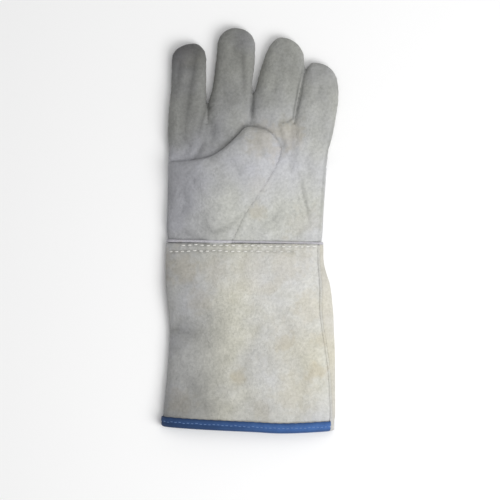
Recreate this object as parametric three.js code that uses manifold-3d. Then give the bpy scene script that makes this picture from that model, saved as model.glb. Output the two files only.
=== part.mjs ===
// Leather gauntlet work glove for the left hand, lying palm up with the thumb folded over the palm.
// Millimetres, +Z up, fingers along +Y, little finger on the +X side. Sections come from the tables
// below. Each skin is an outer form less an inner one, parted along its seams.
import * as THREE from "three";
import { mergeVertices } from "three/addons/utils/BufferGeometryUtils.js";
import Module from "manifold-3d";

const wasm = await Module();
wasm.setup();

// Driving sizes
const LEATHER = 1.5; // wall of every leather panel
const TAPE = 1; // wall of the hem binding
const GAP = 0.3; // clearance between panels that are sewn together
const LAP = LEATHER + GAP; // how far a lapped panel stands off the one below it
const SEAM_Z = 5; // height of the side seam, where the palm side meets the back
const SEAM_SIDE = 0.4; // upright part of a section just under its side seam
const WRIST = { left: -10.2, right: -12.6 }; // upper edge of the cuff at each side
const HAND_END = -20.5; // lower edge of the hand, inside the cuff
const WELT_WIDTH = 2.4; // welt in the wrist seam and in the cuff's side seam
const BINDING_DEPTH = 6.5; // height of the folded hem tape
const WELT_RISE = 0.8; // how far the cuff's side welt stands out of its seam
const HOLLOW_SPREAD = 1.8; // how much wider each fold is inside the glove than outside
const STRAP_RUN = 8; // how far the back stays lifted past the strap
const RAMP = 9; // length over which the back or the cuff comes down to the table
const STRAP_TOP = { left: 67, right: 55 }; // upper edge of the knuckle strap at each side
const REACH = 100; // past the widest footprint, for the prisms that part the panels
const FULLNESS = { hand: 3.6, finger: 2.6, thumb: 2.6, underThumb: 6 }; // how square each section's arch is
const TIP_ROUND = 2; // how square a fingertip's outline is
const SEWN = 0.4; // share of the thumb's half width beyond the middle where it comes down to its palm seam
const TIP_SHARE = 0.06; // share of a finger's width left at the very tip

// How the fingers grow out of the hand: each starts inside it, and the hand's form sinks away between them
const MERGE = { from: 56, to: 93, inset: 2.6, rise: 0.7, drop: 0.35 };

// Share of a section's half width that is flat on the table
const FLAT = { hand: 0.87, finger: 0.58, cuff: 0.87 };

// Number of places across each kind of section, over and under the seam, for outer forms and for hollows
const DETAIL = {
  hand: { outer: { upper: 20, lower: 10 }, hollow: { upper: 13, lower: 8 } },
  finger: { outer: { upper: 10, lower: 6 }, hollow: { upper: 7, lower: 4 } },
  cuff: { outer: { upper: 18, lower: 8 }, hollow: { upper: 13, lower: 6 } },
  thumb: { outer: { upper: 12, lower: 6 }, hollow: { upper: 8, lower: 4 } },
};

// Outline of the hand from inside the cuff to the crotches, and its height over the table
const HAND = [
  { y: -26, left: -70.8, right: 61.8, top: 15.0 },
  { y: -10, left: -71.4, right: 62.6, top: 15.0 },
  { y: 2, left: -72.8, right: 63.9, top: 15.2 },
  { y: 16, left: -72.3, right: 64.5, top: 15.6 },
  { y: 30, left: -72.0, right: 65.4, top: 16.0 },
  { y: 44, left: -71.6, right: 66.4, top: 16.0 },
  { y: 58, left: -71.5, right: 67.5, top: 15.8 },
  { y: 72, left: -71.6, right: 70.1, top: 15.4 },
  { y: 86, left: -71.8, right: 73.1, top: 15.0 },
  { y: 98, left: -71.5, right: 75.3, top: 14.6 },
];

// Outline of each finger. round is the length of the rounded tip, lean how far the tip shifts sideways.
const FINGERS = {
  index: {
    tip: 164.2,
    round: 14.5,
    lean: 4.5,
    rows: [
      { y: 98, left: -71.5, right: -36.0, top: 14.4 },
      { y: 108, left: -70.8, right: -36.8, top: 14.2 },
      { y: 114, left: -70.1, right: -38.1, top: 14.0 },
      { y: 124, left: -69.1, right: -38.2, top: 14.0 },
      { y: 145, left: -68.4, right: -38.1, top: 13.4 },
      { y: 165, left: -68.4, right: -38.1, top: 12.8 },
    ],
  },
  middle: {
    tip: 178,
    round: 15.8,
    lean: 0,
    rows: [
      { y: 98, left: -37.8, right: 1.4, top: 14.6 },
      { y: 108, left: -37.3, right: 2.6, top: 14.6 },
      { y: 116, left: -35.0, right: 2.4, top: 14.6 },
      { y: 124, left: -33.0, right: 2.5, top: 14.4 },
      { y: 131, left: -31.9, right: 3.1, top: 14.2 },
      { y: 145, left: -30.1, right: 4.1, top: 14.0 },
      { y: 160, left: -28.6, right: 4.7, top: 13.4 },
      { y: 178, left: -28.3, right: 4.9, top: 12.8 },
    ],
  },
  ring: {
    tip: 169.4,
    round: 18.4,
    lean: -4.5,
    rows: [
      { y: 98, left: -0.2, right: 40.2, top: 14.6 },
      { y: 108, left: 1.2, right: 41.6, top: 14.8 },
      { y: 116, left: 2.2, right: 43.2, top: 14.8 },
      { y: 124, left: 3.9, right: 45.0, top: 14.6 },
      { y: 131, left: 5.7, right: 46.6, top: 14.4 },
      { y: 141, left: 9.2, right: 48.0, top: 14.0 },
      { y: 152, left: 12.9, right: 47.5, top: 13.4 },
      { y: 170, left: 17.2, right: 47.4, top: 12.6 },
    ],
  },
  little: {
    tip: 147.5,
    round: 18,
    lean: -7,
    rows: [
      { y: 98, left: 38.6, right: 75.3, top: 14.2 },
      { y: 108, left: 39.8, right: 76.9, top: 14.4 },
      { y: 116, left: 41.4, right: 77.7, top: 14.4 },
      { y: 124, left: 43.2, right: 77.7, top: 14.2 },
      { y: 131, left: 44.8, right: 77.1, top: 13.6 },
      { y: 139, left: 47.2, right: 77.0, top: 13.0 },
      { y: 149, left: 49.0, right: 77.0, top: 12.4 },
    ],
  },
};

// Lines between the fingers' back strips, from the wrist to past the fingertips
const STRIP_LINES = [
  [[-38.5, -30], [-38.5, 30], [-37.4, 80], [-37.2, 112], [-35.8, 124], [-33.9, 150], [-33.4, 200]],
  [[-4.0, -30], [-3.0, 30], [-0.6, 80], [2.4, 112], [3.2, 124], [6.8, 145], [10.5, 200]],
  [[31.0, -30], [33.5, 30], [37.6, 80], [41.6, 112], [44.2, 124], [48.4, 140], [48.6, 200]],
];

// Outline of the cuff from the wrist to the hem. seam is how far its side seam has rolled in over the palm.
const CUFF = [
  { y: -190, left: -76.3, right: 73.4, top: 23.0, seam: 2.8 },
  { y: -172, left: -76.1, right: 73.9, top: 22.0, seam: 3.2 },
  { y: -160, left: -75.6, right: 74.8, top: 20.6, seam: 3.6 },
  { y: -144, left: -74.0, right: 74.8, top: 19.6, seam: 4.2 },
  { y: -122, left: -72.0, right: 74.7, top: 18.8, seam: 5.4 },
  { y: -100, left: -70.6, right: 74.4, top: 18.4, seam: 8.0 },
  { y: -85, left: -70.4, right: 73.7, top: 18.4, seam: 9.8 },
  { y: -69, left: -71.8, right: 73.0, top: 18.6, seam: 11.0 },
  { y: -47, left: -73.8, right: 70.4, top: 18.8, seam: 8.4 },
  { y: -28, left: -74.0, right: 65.2, top: 19.0, seam: 4.6 },
  { y: -12, left: -73.6, right: 64.4, top: 19.0, seam: 4.0 },
  { y: 0, left: -73.4, right: 64.4, top: 19.0, seam: 4.0 },
];

// Line of the hem, which wanders a little from straight
const HEM = [
  [-100, -168.6], [-70, -171.0], [-30, -173.2], [5, -174.8],
  [24, -175.9], [45, -175.6], [75, -174.4], [100, -174.4],
];

const HEM_MIDDLE = HEM[3][1];

// The thumb, a row for each section from the wrist corner to the tip. (ux, uy) is the end on the index
// side, raised over the hand by lift, and (lx, ly) the end on the palm seam. crown raises the middle.
const THUMB = [
  { ux: -71.0, uy: -17.5, lx: -66.0, ly: -20.5, lift: 0, crown: 0 },
  { ux: -71.3, uy: -6.0, lx: -56.0, ly: -20.5, lift: 0, crown: 0.2 },
  { ux: -72.2, uy: 10.0, lx: -43.0, ly: -20.5, lift: 0, crown: 0.8 },
  { ux: -71.7, uy: 27.0, lx: -32.0, ly: -20.5, lift: 0, crown: 2.2 },
  { ux: -71.6, uy: 44.0, lx: -22.5, ly: -20.5, lift: 0, crown: 4.6 },
  { ux: -71.2, uy: 58.6, lx: -14.4, ly: -8.0, lift: 0.6, crown: 7.4 },
  { ux: -58.0, uy: 61.0, lx: -8.4, ly: 5.0, lift: 2.6, crown: 8.0 },
  { ux: -46.5, uy: 62.8, lx: -2.2, ly: 16.5, lift: 3.6, crown: 7.8 },
  { ux: -34.6, uy: 66.0, lx: 6.0, ly: 28.6, lift: 3.9, crown: 7.6 },
  { ux: -23.0, uy: 73.2, lx: 14.8, ly: 41.6, lift: 3.9, crown: 7.4 },
  { ux: -12.8, uy: 82.6, lx: 22.2, ly: 54.4, lift: 3.7, crown: 7.2 },
  { ux: -4.0, uy: 91.0, lx: 28.4, ly: 66.0, lift: 3.2, crown: 6.6 },
  { ux: 4.8, uy: 91.4, lx: 30.2, ly: 72.0, lift: 2.8, crown: 6.0 },
  { ux: 12.4, uy: 89.2, lx: 29.2, ly: 76.4, lift: 2.6, crown: 4.6 },
  { ux: 18.6, uy: 86.4, lx: 26.0, ly: 80.8, lift: 2.6, crown: 2.0 },
];
const ROOT = 5; // the row where the thumb leaves the hand
// First and last section of the thumb and of its hollow
const THUMB_ENDS = { outer: [0, 14], inner: [0.4, 13.7] };

// Folds and dents of the palm side, a straight valley in each row
const FOLDS = [
  { x0: -48, y0: 150, x1: -57, y1: 84, width: 4.5, depth: 1.7 }, // along the index finger
  { x0: -7, y0: 150, x1: -5, y1: 118, width: 4, depth: 1.3 }, // along the middle finger
  { x0: -38, y0: 104, x1: -44, y1: 84, width: 4, depth: 2.2 }, // below the first crotch
  { x0: -42, y0: 77, x1: -49, y1: 66, width: 4.5, depth: 1.6 }, // beside the thumb's edge
  { x0: 2, y0: 106, x1: 1, y1: 92, width: 4, depth: 2 }, // below the second crotch
  { x0: 25, y0: 92, x1: 31, y1: 70, width: 4.5, depth: 2.2 }, // round the thumb's tip
  { x0: 36, y0: 92, x1: 35, y1: 57, width: 5, depth: 2.0 }, // below the ring finger
  { x0: 45, y0: 34, x1: 53, y1: 7, width: 6, depth: 1.8 }, // heel of the hand
  { x0: -10, y0: 11, x1: -47, y1: 3, width: 8, depth: 2.2 }, // across the thumb's ball
  { x0: -76, y0: -92, x1: -46, y1: -98, width: 15, depth: 2.6 }, // dent in the cuff's thumb side
  { x0: 28, y0: -60, x1: 44, y1: -150, width: 13, depth: 1.8 }, // slack along the cuff
];

const mix = (a, b, t) => a + (b - a) * t;
const clamp = (t) => Math.min(1, Math.max(0, t));
const smooth = (t) => clamp(t) ** 2 * (3 - 2 * clamp(t));
const power = (value, exponent) => Math.sign(value) * Math.abs(value) ** exponent;
const steps = (from, to, count) => Array.from({ length: count + 1 }, (_, i) => mix(from, to, i / count));
const vector = (x, y, z) => new THREE.Vector3(x, y, z);

// Height of a section over its ends as a share of its full height, with u from -1 to 1 across it
const arch = (u, fullness) => Math.sqrt(1 - Math.min(1, Math.abs(u)) ** fullness);

// A column of a table whose rows rise in y, through a smooth curve, held level past both ends
function read(table, column, y) {
  const last = table.length - 1;
  const i = Math.max(0, Math.min(last - 1, table.findIndex((row) => row.y > y) - 1));
  const base = y >= table[last].y ? last - 1 : i;
  const [a, b] = [table[base], table[base + 1]];
  const slope = (k) => {
    const [before, after] = [table[Math.max(0, k - 1)], table[Math.min(last, k + 1)]];
    return ((after[column] - before[column]) / (after.y - before.y)) * (b.y - a.y);
  };
  const t = clamp((y - a.y) / (b.y - a.y));
  const ends = mix(a[column], b[column], smooth(t));
  return ends + t * (1 - t) * (slope(base) * (1 - t) - slope(base + 1) * t);
}

// Sum of all folds' depths at a place on the palm side. Folds are wider in a hollow, to keep the wall whole.
function foldDepth(x, y, out) {
  const spread = out < 0 ? HOLLOW_SPREAD : 1;
  return FOLDS.reduce((sum, { x0, y0, x1, y1, width, depth }) => {
    const t = clamp(((x - x0) * (x1 - x0) + (y - y0) * (y1 - y0)) / ((x1 - x0) ** 2 + (y1 - y0) ** 2));
    const away = Math.hypot(x - mix(x0, x1, t), y - mix(y0, y1, t));
    return sum + depth * Math.exp(-((away / width / spread) ** 2));
  }, 0);
}

// Places across a section, closer together at its two rolled edges
const across = (count) => steps(0, Math.PI, count - 1).map((angle) => power(-Math.cos(angle), 0.8));

// A closed section: over the seam from left to right, then back under it
function ring(kind, out, over, under) {
  const { upper, lower } = DETAIL[kind][out < 0 ? "hollow" : "outer"];
  return [...across(upper).map(over), ...across(lower).reverse().map(under)];
}

// Height of a section's underside: flat up to a share of its half width, then rolled up to the side seam
const underside = (u, flat, floor) =>
  floor + (SEAM_Z - SEAM_SIDE - floor) * (1 - arch(clamp((Math.abs(u) - flat) / (1 - flat)), 2));

// How far the back stands off the table. Under the strap and the cuff it rests on them.
function backLift(x, y) {
  const side = clamp((x - HAND[0].left) / (HAND[0].right - HAND[0].left));
  return LAP * smooth((mix(STRAP_TOP.left, STRAP_TOP.right, side) + STRAP_RUN + RAMP - y) / RAMP);
}

// Height of the hand's palm side where the thumb lies
function handTop(x, y) {
  const [left, right, top] = ["left", "right", "top"].map((column) => read(HAND, column, y));
  return SEAM_Z + (top - SEAM_Z) * arch((2 * x - left - right) / (right - left), FULLNESS.hand);
}

// Section of the hand, moved outwards by out
function handRing(y, out) {
  const [left, right, top] = ["left", "right", "top"].map((column) => read(HAND, column, y));
  const sunk = smooth((y - MERGE.from) / (MERGE.to - MERGE.from));
  const middle = (left + right) / 2;
  const half = (right - left) / 2 + out - MERGE.inset * sunk;
  const height = (top - SEAM_Z) * (1 - MERGE.drop * sunk) + out;
  return ring(
    "hand",
    out,
    (u) => {
      const x = middle + half * u;
      return vector(x, y, SEAM_Z + (height - foldDepth(x, y, out)) * arch(u, FULLNESS.hand));
    },
    (u) => {
      const lift = backLift(middle + half * u, y);
      return vector(middle + (half - lift) * u, y, underside(u, FLAT.hand, lift + MERGE.rise * sunk - out));
    },
  );
}

// One edge of a finger. Inside the hand it keeps its share of the hand's width.
function fingerEdge(rows, side, y) {
  const first = rows[0];
  const hand = (at, column) => read(HAND, column, at);
  const share = (first[side] - hand(first.y, "left")) / (hand(first.y, "right") - hand(first.y, "left"));
  return y < first.y ? mix(hand(y, "left"), hand(y, "right"), share) : read(rows, side, y);
}

// Section of a finger, moved outwards by out
function fingerRing({ tip, round, lean, rows }, y, out) {
  const along = clamp((y - (tip + out - round)) / round);
  const share = Math.max(TIP_SHARE, (1 - along ** TIP_ROUND) ** (1 / TIP_ROUND));
  const [left, right] = ["left", "right"].map((side) => fingerEdge(rows, side, y));
  const buried = 1 - smooth((y - MERGE.from) / (MERGE.to - 8 - MERGE.from));
  const middle = (left + right) / 2 + lean * (1 - share);
  const half = ((right - left) / 2 + out - MERGE.inset * buried) * share;
  const height = ((read(rows, "top", y) - SEAM_Z) * (1 - MERGE.drop * buried) + out) * share ** 0.8;
  return ring(
    "finger",
    out,
    (u) => {
      const x = middle + half * u;
      return vector(x, y, SEAM_Z + (height - foldDepth(x, y, out) * share) * arch(u, FULLNESS.finger));
    },
    (u) => {
      const lift = backLift(middle + half * u, y);
      const flat = underside(u, FLAT.finger, lift + MERGE.rise * buried - out);
      return vector(middle + (half - lift * share) * u, y, mix(SEAM_Z - SEAM_SIDE, flat, share ** 0.8));
    },
  );
}

// How far the hem's tape lifts the cuff off the table
const hemLift = (y) => (GAP + TAPE) * smooth((HEM_MIDDLE + BINDING_DEPTH + 2 * RAMP - y) / RAMP);

// Section of the cuff, moved outwards by out
function cuffRing(y, out) {
  const [left, right, top] = ["left", "right", "top"].map((column) => read(CUFF, column, y));
  const [middle, half] = [(left + right) / 2, (right - left) / 2 + out];
  return ring(
    "cuff",
    out,
    (u) => {
      const x = middle + half * u;
      return vector(x, y, SEAM_Z + (top - SEAM_Z + out - foldDepth(x, y, out)) * arch(u, FULLNESS.hand));
    },
    (u) => vector(middle + half * u, y, underside(u, FLAT.cuff, hemLift(y) - out)),
  );
}

// A row of the thumb's table between whole rows
function thumbRow(s) {
  const [a, b] = [THUMB[Math.floor(s)], THUMB[Math.ceil(s)]];
  return Object.fromEntries(Object.keys(a).map((column) => [column, mix(a[column], b[column], s % 1)]));
}

// Section of the thumb, moved outwards by out. Up to its root it is open to the hand below.
function thumbRing(s, out) {
  const { ux, uy, lx, ly, lift, crown } = thumbRow(s);
  const rooted = s <= ROOT;
  const reach = out / Math.hypot(lx - ux, ly - uy);
  const place = (u) => [(u + 1) / 2 + reach * u].map((t) => [mix(ux, lx, t), mix(uy, ly, t)])[0];
  const raised = (u) => mix(lift, Math.min(lift, 2 * GAP), smooth((u + SEWN) / (1 + SEWN)));
  return ring(
    "thumb",
    out,
    (u) => {
      const [x, y] = place(u);
      const full = arch(u, FULLNESS.thumb);
      const fold = foldDepth(x, y, out) * full * clamp(crown / 6);
      return vector(x, y, handTop(x, y) + raised(u) + GAP + crown * full - fold + out * (rooted ? 1 : full));
    },
    (u) => {
      const [x, y] = place(u);
      const hand = handTop(x, y);
      const inside = Math.max(SEAM_Z + GAP / 2, hand - LEATHER - GAP);
      const free = hand + raised(u) - (raised(u) - 2 * GAP + out) * arch(u, FULLNESS.underThumb);
      return vector(x, y, rooted ? (out < 0 ? -LEATHER : inside) : free);
    },
  );
}

// Region under the thumb's root where the hand is open, moved outwards by out
function rootRegion(out) {
  const [corner, end] = [THUMB[ROOT - 1], THUMB[ROOT]];
  const aside = new THREE.Vector2(end.ly - end.uy, end.ux - end.lx).normalize().multiplyScalar(-out);
  const outline = [
    [-REACH, -REACH / 2],
    [-REACH, end.uy + aside.y],
    [end.ux + aside.x, end.uy + aside.y],
    [end.lx + aside.x + out, end.ly + aside.y],
    [corner.lx + out, corner.ly],
    [corner.lx + out, -REACH / 2],
  ];
  return prism(outline, -REACH, REACH);
}

// A solid for the boolean steps
function solid(geometry) {
  geometry.deleteAttribute("normal");
  geometry.deleteAttribute("uv");
  const { attributes, index } = mergeVertices(geometry, 1e-4);
  const vertProperties = attributes.position.array;
  const triVerts = Uint32Array.from(index.array);
  return new wasm.Manifold(new wasm.Mesh({ numProp: 3, vertProperties, triVerts }));
}

// A closed solid through sections with equal numbers of points, with an end over the first and last
function lofted(rings) {
  const size = rings[0].length;
  const centre = (points) => points.reduce((sum, p) => sum.add(p), vector(0, 0, 0)).divideScalar(size);
  const points = [...rings.flat(), centre(rings[0]), centre(rings.at(-1))];
  const faces = [];
  for (let j = 0; j < size; j++) {
    const next = (j + 1) % size;
    for (let i = 0; i + 1 < rings.length; i++) {
      const [a, b] = [i * size + j, i * size + next];
      faces.push(a, b, a + size, b, b + size, a + size);
    }
    const last = (rings.length - 1) * size;
    faces.push(next, j, points.length - 2, last + j, last + next, points.length - 1);
  }
  const geometry = new THREE.BufferGeometry().setFromPoints(points);
  geometry.setIndex(facesOutward(points, faces) ? faces : faces.reverse());
  return solid(geometry);
}

// Whether a closed set of faces is wound so that its volume is positive
function facesOutward(points, faces) {
  let volume = 0;
  for (let f = 0; f < faces.length; f += 3) {
    const [a, b, c] = [points[faces[f]], points[faces[f + 1]], points[faces[f + 2]]];
    volume += a.dot(vector(0, 0, 0).crossVectors(b, c));
  }
  return volume > 0;
}

// An upright prism over an outline seen from above
function prism(outline, bottom, top) {
  const shape = new THREE.Shape(outline.map(([x, y]) => new THREE.Vector2(x, y)));
  const geometry = new THREE.ExtrudeGeometry(shape, { depth: top - bottom, bevelEnabled: false });
  return solid(geometry.translate(0, 0, bottom));
}

// Everything over a height
function everythingOver(height) {
  const far = 3 * REACH;
  return prism([[-far, -far], [far, -far], [far, far], [-far, far]], height, REACH);
}

const all = (solids) => solids.reduce((sum, next) => sum.add(next));

// The hand alone, moved outwards by out and made longer at the wrist
function palmSolid(out, longer) {
  const rows = [HAND_END - longer, -14, -6, 3, 12, 22, 33, 44, 52, 58, 64, 70, 78, 86, MERGE.to + out];
  return lofted(rows.map((y) => handRing(y, out)));
}

// Places of the fingers' sections below their rounded tips
const FINGER_ROWS = [MERGE.from, 64, 72, 82, 92, 100, 108, 116, 124, 133, 143, 154];

// The hand with its fingers, moved outwards by out and made longer at the wrist
function handSolid(out, longer) {
  const palm = palmSolid(out, longer);
  const fingers = Object.values(FINGERS).map((finger) => {
    const straight = finger.tip + out - finger.round;
    const rows = FINGER_ROWS.filter((y) => y < straight - 3);
    const rounded = [0, 0.4, 0.68, 0.86, 0.96, 1].map((t) => straight + finger.round * t);
    return lofted([...rows, ...rounded].map((y) => fingerRing(finger, y, out)));
  });
  return all([palm, ...fingers]);
}

// Places of the cuff's sections
const CUFF_ROWS = [-215, -190, -172, -160, -144, -122, -100, -85, -69, -47, -28, -12, 0];
const cuffSolid = (out) => lofted(CUFF_ROWS.map((y) => cuffRing(y, out)));

// The thumb, moved outwards by out. Inside it, the hollow stops short at both ends.
function thumbSolid(out) {
  const [first, last] = out < 0 ? THUMB_ENDS.inner : THUMB_ENDS.outer;
  const between = [...THUMB.keys(), ROOT + 0.15].filter((s) => s > first && s < last).sort((a, b) => a - b);
  return lofted([first, ...between, last].map((s) => thumbRing(s, out)));
}

// Strip across the glove between the wrist line and the same line moved along y
function wristBand(from, to) {
  const { left, right } = WRIST;
  const [x0, x1] = [2 * CUFF[0].left, 2 * CUFF[0].right];
  return prism([[x0, left + from], [x1, right + from], [x1, right + to], [x0, left + to]], -REACH, REACH);
}

// Strip along the hem between two distances from it
function hemBand(from, to) {
  const line = (along) => HEM.map(([x, y]) => [x, y + along]);
  return prism([...line(from), ...line(to).reverse()], -REACH, REACH);
}

// Everything on the palm side of the cuff's side seam, moved by along towards the little finger
function cuffFront(along, floor) {
  const line = CUFF.map(({ y, right, seam }) => [right - seam + along, y]);
  const below = CUFF[0].y - REACH;
  const outline = [[-REACH, below], [line[0][0], below], ...line, [line.at(-1)[0], REACH], [-REACH, REACH]];
  return prism(outline, floor, REACH);
}

// Material of one leather panel or tape
const leather = (color) => new THREE.MeshStandardMaterial({ color, roughness: 0.85, metalness: 0 });
const glove = new THREE.Group();
glove.name = "work_glove";

// Adds a finished piece to the glove
function addPiece(name, form, material) {
  const { vertProperties, triVerts } = form.getMesh();
  const geometry = new THREE.BufferGeometry();
  geometry.setAttribute("position", new THREE.BufferAttribute(vertProperties, 3));
  geometry.setIndex(new THREE.BufferAttribute(triVerts, 1));
  geometry.computeVertexNormals();
  const piece = new THREE.Mesh(geometry, material);
  piece.name = name;
  glove.add(piece);
}

// The hand: one panel over the palm and the fingers' fronts, and a strip up the back of each finger
function addHand() {
  const shell = handSolid(0, 0).subtract(handSolid(-LEATHER, 10));
  const front = shell.intersect(everythingOver(SEAM_Z + GAP / 2));
  addPiece("palm_leather", front.subtract(rootRegion(GAP)), leather(0xb6b7b2));
  const [from, to] = [STRIP_LINES[0][0][1], STRIP_LINES[0].at(-1)[1]];
  const edges = [[[-REACH, from], [-REACH, to]], ...STRIP_LINES, [[REACH, from], [REACH, to]]];
  Object.keys(FINGERS).forEach((name, i) => {
    const start = edges[i].map(([x, y]) => [x + GAP / 2, y]);
    const end = edges[i + 1].map(([x, y]) => [x - GAP / 2, y]);
    const strip = prism([...start, ...end.reverse()], -REACH, SEAM_Z - GAP / 2);
    addPiece(`${name}_back`, shell.intersect(strip), leather(0xbab9b1));
  });
}

// The thumb: its root continues the palm side, its free part lies on the palm
function addThumb() {
  const palmBelow = handSolid(GAP, 0).subtract(rootRegion(0));
  const form = thumbSolid(0).subtract(thumbSolid(-LEATHER)).subtract(palmBelow);
  addPiece("thumb_leather", form, leather(0xb9bab4));
}

// The strap over the knuckles, sewn into both side seams
function addStrap() {
  const { left, right } = STRAP_TOP;
  const outline = [
    [-REACH, WRIST.left + WELT_WIDTH + 2 * GAP],
    [REACH, WRIST.right + WELT_WIDTH + 2 * GAP],
    [REACH, right],
    [-REACH, left],
  ];
  const region = prism(outline, -REACH, SEAM_Z - GAP / 2);
  const form = palmSolid(LAP, 0).subtract(handSolid(GAP, 0)).intersect(region);
  addPiece("knuckle_strap", form, leather(0xcfd1d1));
}

// The welt round the wrist seam
function addWristWelt() {
  const inner = palmSolid(GAP, 0).add(thumbSolid(GAP));
  const form = palmSolid(LAP, 0).add(thumbSolid(LAP)).subtract(inner);
  addPiece("wrist_welt", form.intersect(wristBand(GAP, GAP + WELT_WIDTH)), leather(0x55505c));
}

// The cuff: two panels, the back one rolled over the little finger's edge, and a welt in their seam
function addCuff() {
  const hand = palmSolid(GAP, 0).add(thumbSolid(GAP));
  const tube = cuffSolid(0).subtract(cuffSolid(-LEATHER)).subtract(hand);
  const shell = tube.intersect(wristBand(-2 * REACH, 0)).intersect(hemBand(0, 2 * REACH));
  const [inner, outer] = [-WELT_WIDTH / 2 - GAP, WELT_WIDTH / 2 + GAP];
  addPiece("cuff_palm_panel", shell.intersect(cuffFront(inner, SEAM_Z + GAP / 2)), leather(0xd3cfbe));
  addPiece("cuff_back_panel", shell.subtract(cuffFront(outer, SEAM_Z - GAP / 2)), leather(0xd0cbb8));
  const proud = cuffSolid(WELT_RISE).subtract(cuffSolid(-LEATHER)).subtract(hand);
  const seam = cuffFront(outer - GAP, SEAM_Z + 2 * GAP).subtract(cuffFront(inner + GAP, -REACH));
  const reach = wristBand(-2 * REACH, 0).intersect(hemBand(-WELT_RISE, 2 * REACH));
  addPiece("cuff_side_welt", proud.intersect(seam).intersect(reach), leather(0xc9c6ba));
}

// The tape folded over the hem
function addBinding() {
  const outside = cuffSolid(GAP + TAPE).intersect(hemBand(-GAP - TAPE, BINDING_DEPTH));
  const channel = cuffSolid(GAP).subtract(cuffSolid(-LEATHER - GAP)).intersect(hemBand(-GAP, REACH));
  const [from, to] = [cuffFront(GAP + WELT_WIDTH / 2, SEAM_Z), cuffFront(-GAP - WELT_WIDTH / 2, -REACH)];
  const bare = from.subtract(to);
  const form = outside.subtract(channel).subtract(cuffSolid(-LEATHER - GAP - TAPE)).subtract(bare);
  addPiece("hem_binding", form, leather(0x3f6ea8));
}

addHand();
addThumb();
addStrap();
addWristWelt();
addCuff();
addBinding();

// The origin lies on the table under the middle of the glove
const extent = new THREE.Box3().setFromObject(glove);
const centre = extent.getCenter(vector(0, 0, 0));
glove.position.set(-centre.x, -centre.y, -extent.min.z);

export default glove;
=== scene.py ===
"""A left-hand split-leather gauntlet lying palm up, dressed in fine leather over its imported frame.

Shapes are worked out in millimetres in the glove's own pattern coordinates, as the solids are,
and moved into the frame's metres when a mesh is made.
"""

import logging
import math
from dataclasses import dataclass, field
from enum import Enum
from functools import cache
from typing import Callable, Iterable, Sequence

import bmesh
import bpy
import numpy as np
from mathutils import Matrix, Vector
from mathutils.bvhtree import BVHTree


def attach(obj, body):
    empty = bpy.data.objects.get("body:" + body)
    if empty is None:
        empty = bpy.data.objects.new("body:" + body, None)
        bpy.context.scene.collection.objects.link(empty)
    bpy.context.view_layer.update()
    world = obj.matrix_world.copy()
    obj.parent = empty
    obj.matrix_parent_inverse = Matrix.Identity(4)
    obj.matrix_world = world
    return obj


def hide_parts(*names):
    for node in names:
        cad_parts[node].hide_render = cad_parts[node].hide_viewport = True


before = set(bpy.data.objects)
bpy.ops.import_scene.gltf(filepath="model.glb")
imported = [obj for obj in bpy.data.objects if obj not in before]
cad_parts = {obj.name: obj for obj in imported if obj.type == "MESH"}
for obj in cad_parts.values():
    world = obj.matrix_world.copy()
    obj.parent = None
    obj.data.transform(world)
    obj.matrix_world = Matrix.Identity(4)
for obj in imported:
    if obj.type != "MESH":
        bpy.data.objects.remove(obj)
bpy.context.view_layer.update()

LOG = logging.getLogger("glove")
Points = np.ndarray
Rows = Sequence[tuple[float, ...]]

MM = 1000.0
LEATHER = 1.5
GAP = 0.3
LAP = LEATHER + GAP
SEAM_Z = 5.0
SEAM_SIDE = 0.4
HAND_END = -20.5
WELT_WIDTH = 2.4
WELT_RISE = 0.8
BINDING_DEPTH = 8.0
TAPE = 1.0
WRIST = (-10.2, -12.6)
HEM_END = -174.5
STRAP_TOP = (67.0, 55.0)
STRAP_RUN = 8.0
STRAP_RAMP = 9.0
SHIFT = np.array([-0.156, -0.400, 0.0])
ROOT = 5.0
STRAP_SPAN = (-70.8, 132.6)
WRIST_SPAN = (-71.0, 135.0)
CUFF_SPAN = (-152.0, 299.2)
HEM_LOW = -175.2
PALM_FULL = 3.6
FINGER_FULL = 2.6
ROUND_FULL = 2.0
PALM_FLAT = 0.87
SEAM_BLEND = 4.0
CROWDING = 0.8
EDGE_STEPS = 40
CUT_REACH = 1e-4
NOWHERE = 1e9
TINY = 1e-9
NOISE_SHIFT = 57.31
NOISE_PRIMES = (374761393, 668265263, 2147483647, 974634777)
NOISE_STIR = 1274126177
NOISE_MASK = 0xFFFFFFFF
NOISE_BITS = (13, 16)
NOISE_LEVELS = 0xFFFF

# Columns of the tables of rows: those of a line, of the hand, the cuff and the fingers, and of the thumb.
ALONG = 1
LEFT, RIGHT, TOP, SEAM_IN = 1, 2, 3, 4
UPPER_X, UPPER_Y, LOWER_X, LOWER_Y, RIM_LIFT, FULLNESS = 1, 2, 3, 4, 5, 6

# The hand's rows: y, left edge, right edge, top.
HAND_ROWS: Rows = (
    (-26, -70.8, 61.8, 15.0), (-10, -71.4, 62.6, 15.0), (2, -72.8, 63.9, 15.2), (16, -72.3, 64.5, 15.6),
    (30, -72.0, 65.4, 16.0), (44, -71.6, 66.4, 16.0), (58, -71.5, 67.5, 15.8), (72, -71.6, 70.1, 15.4),
    (86, -71.8, 73.1, 15.0), (98, -71.5, 75.3, 14.6),
)

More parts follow.
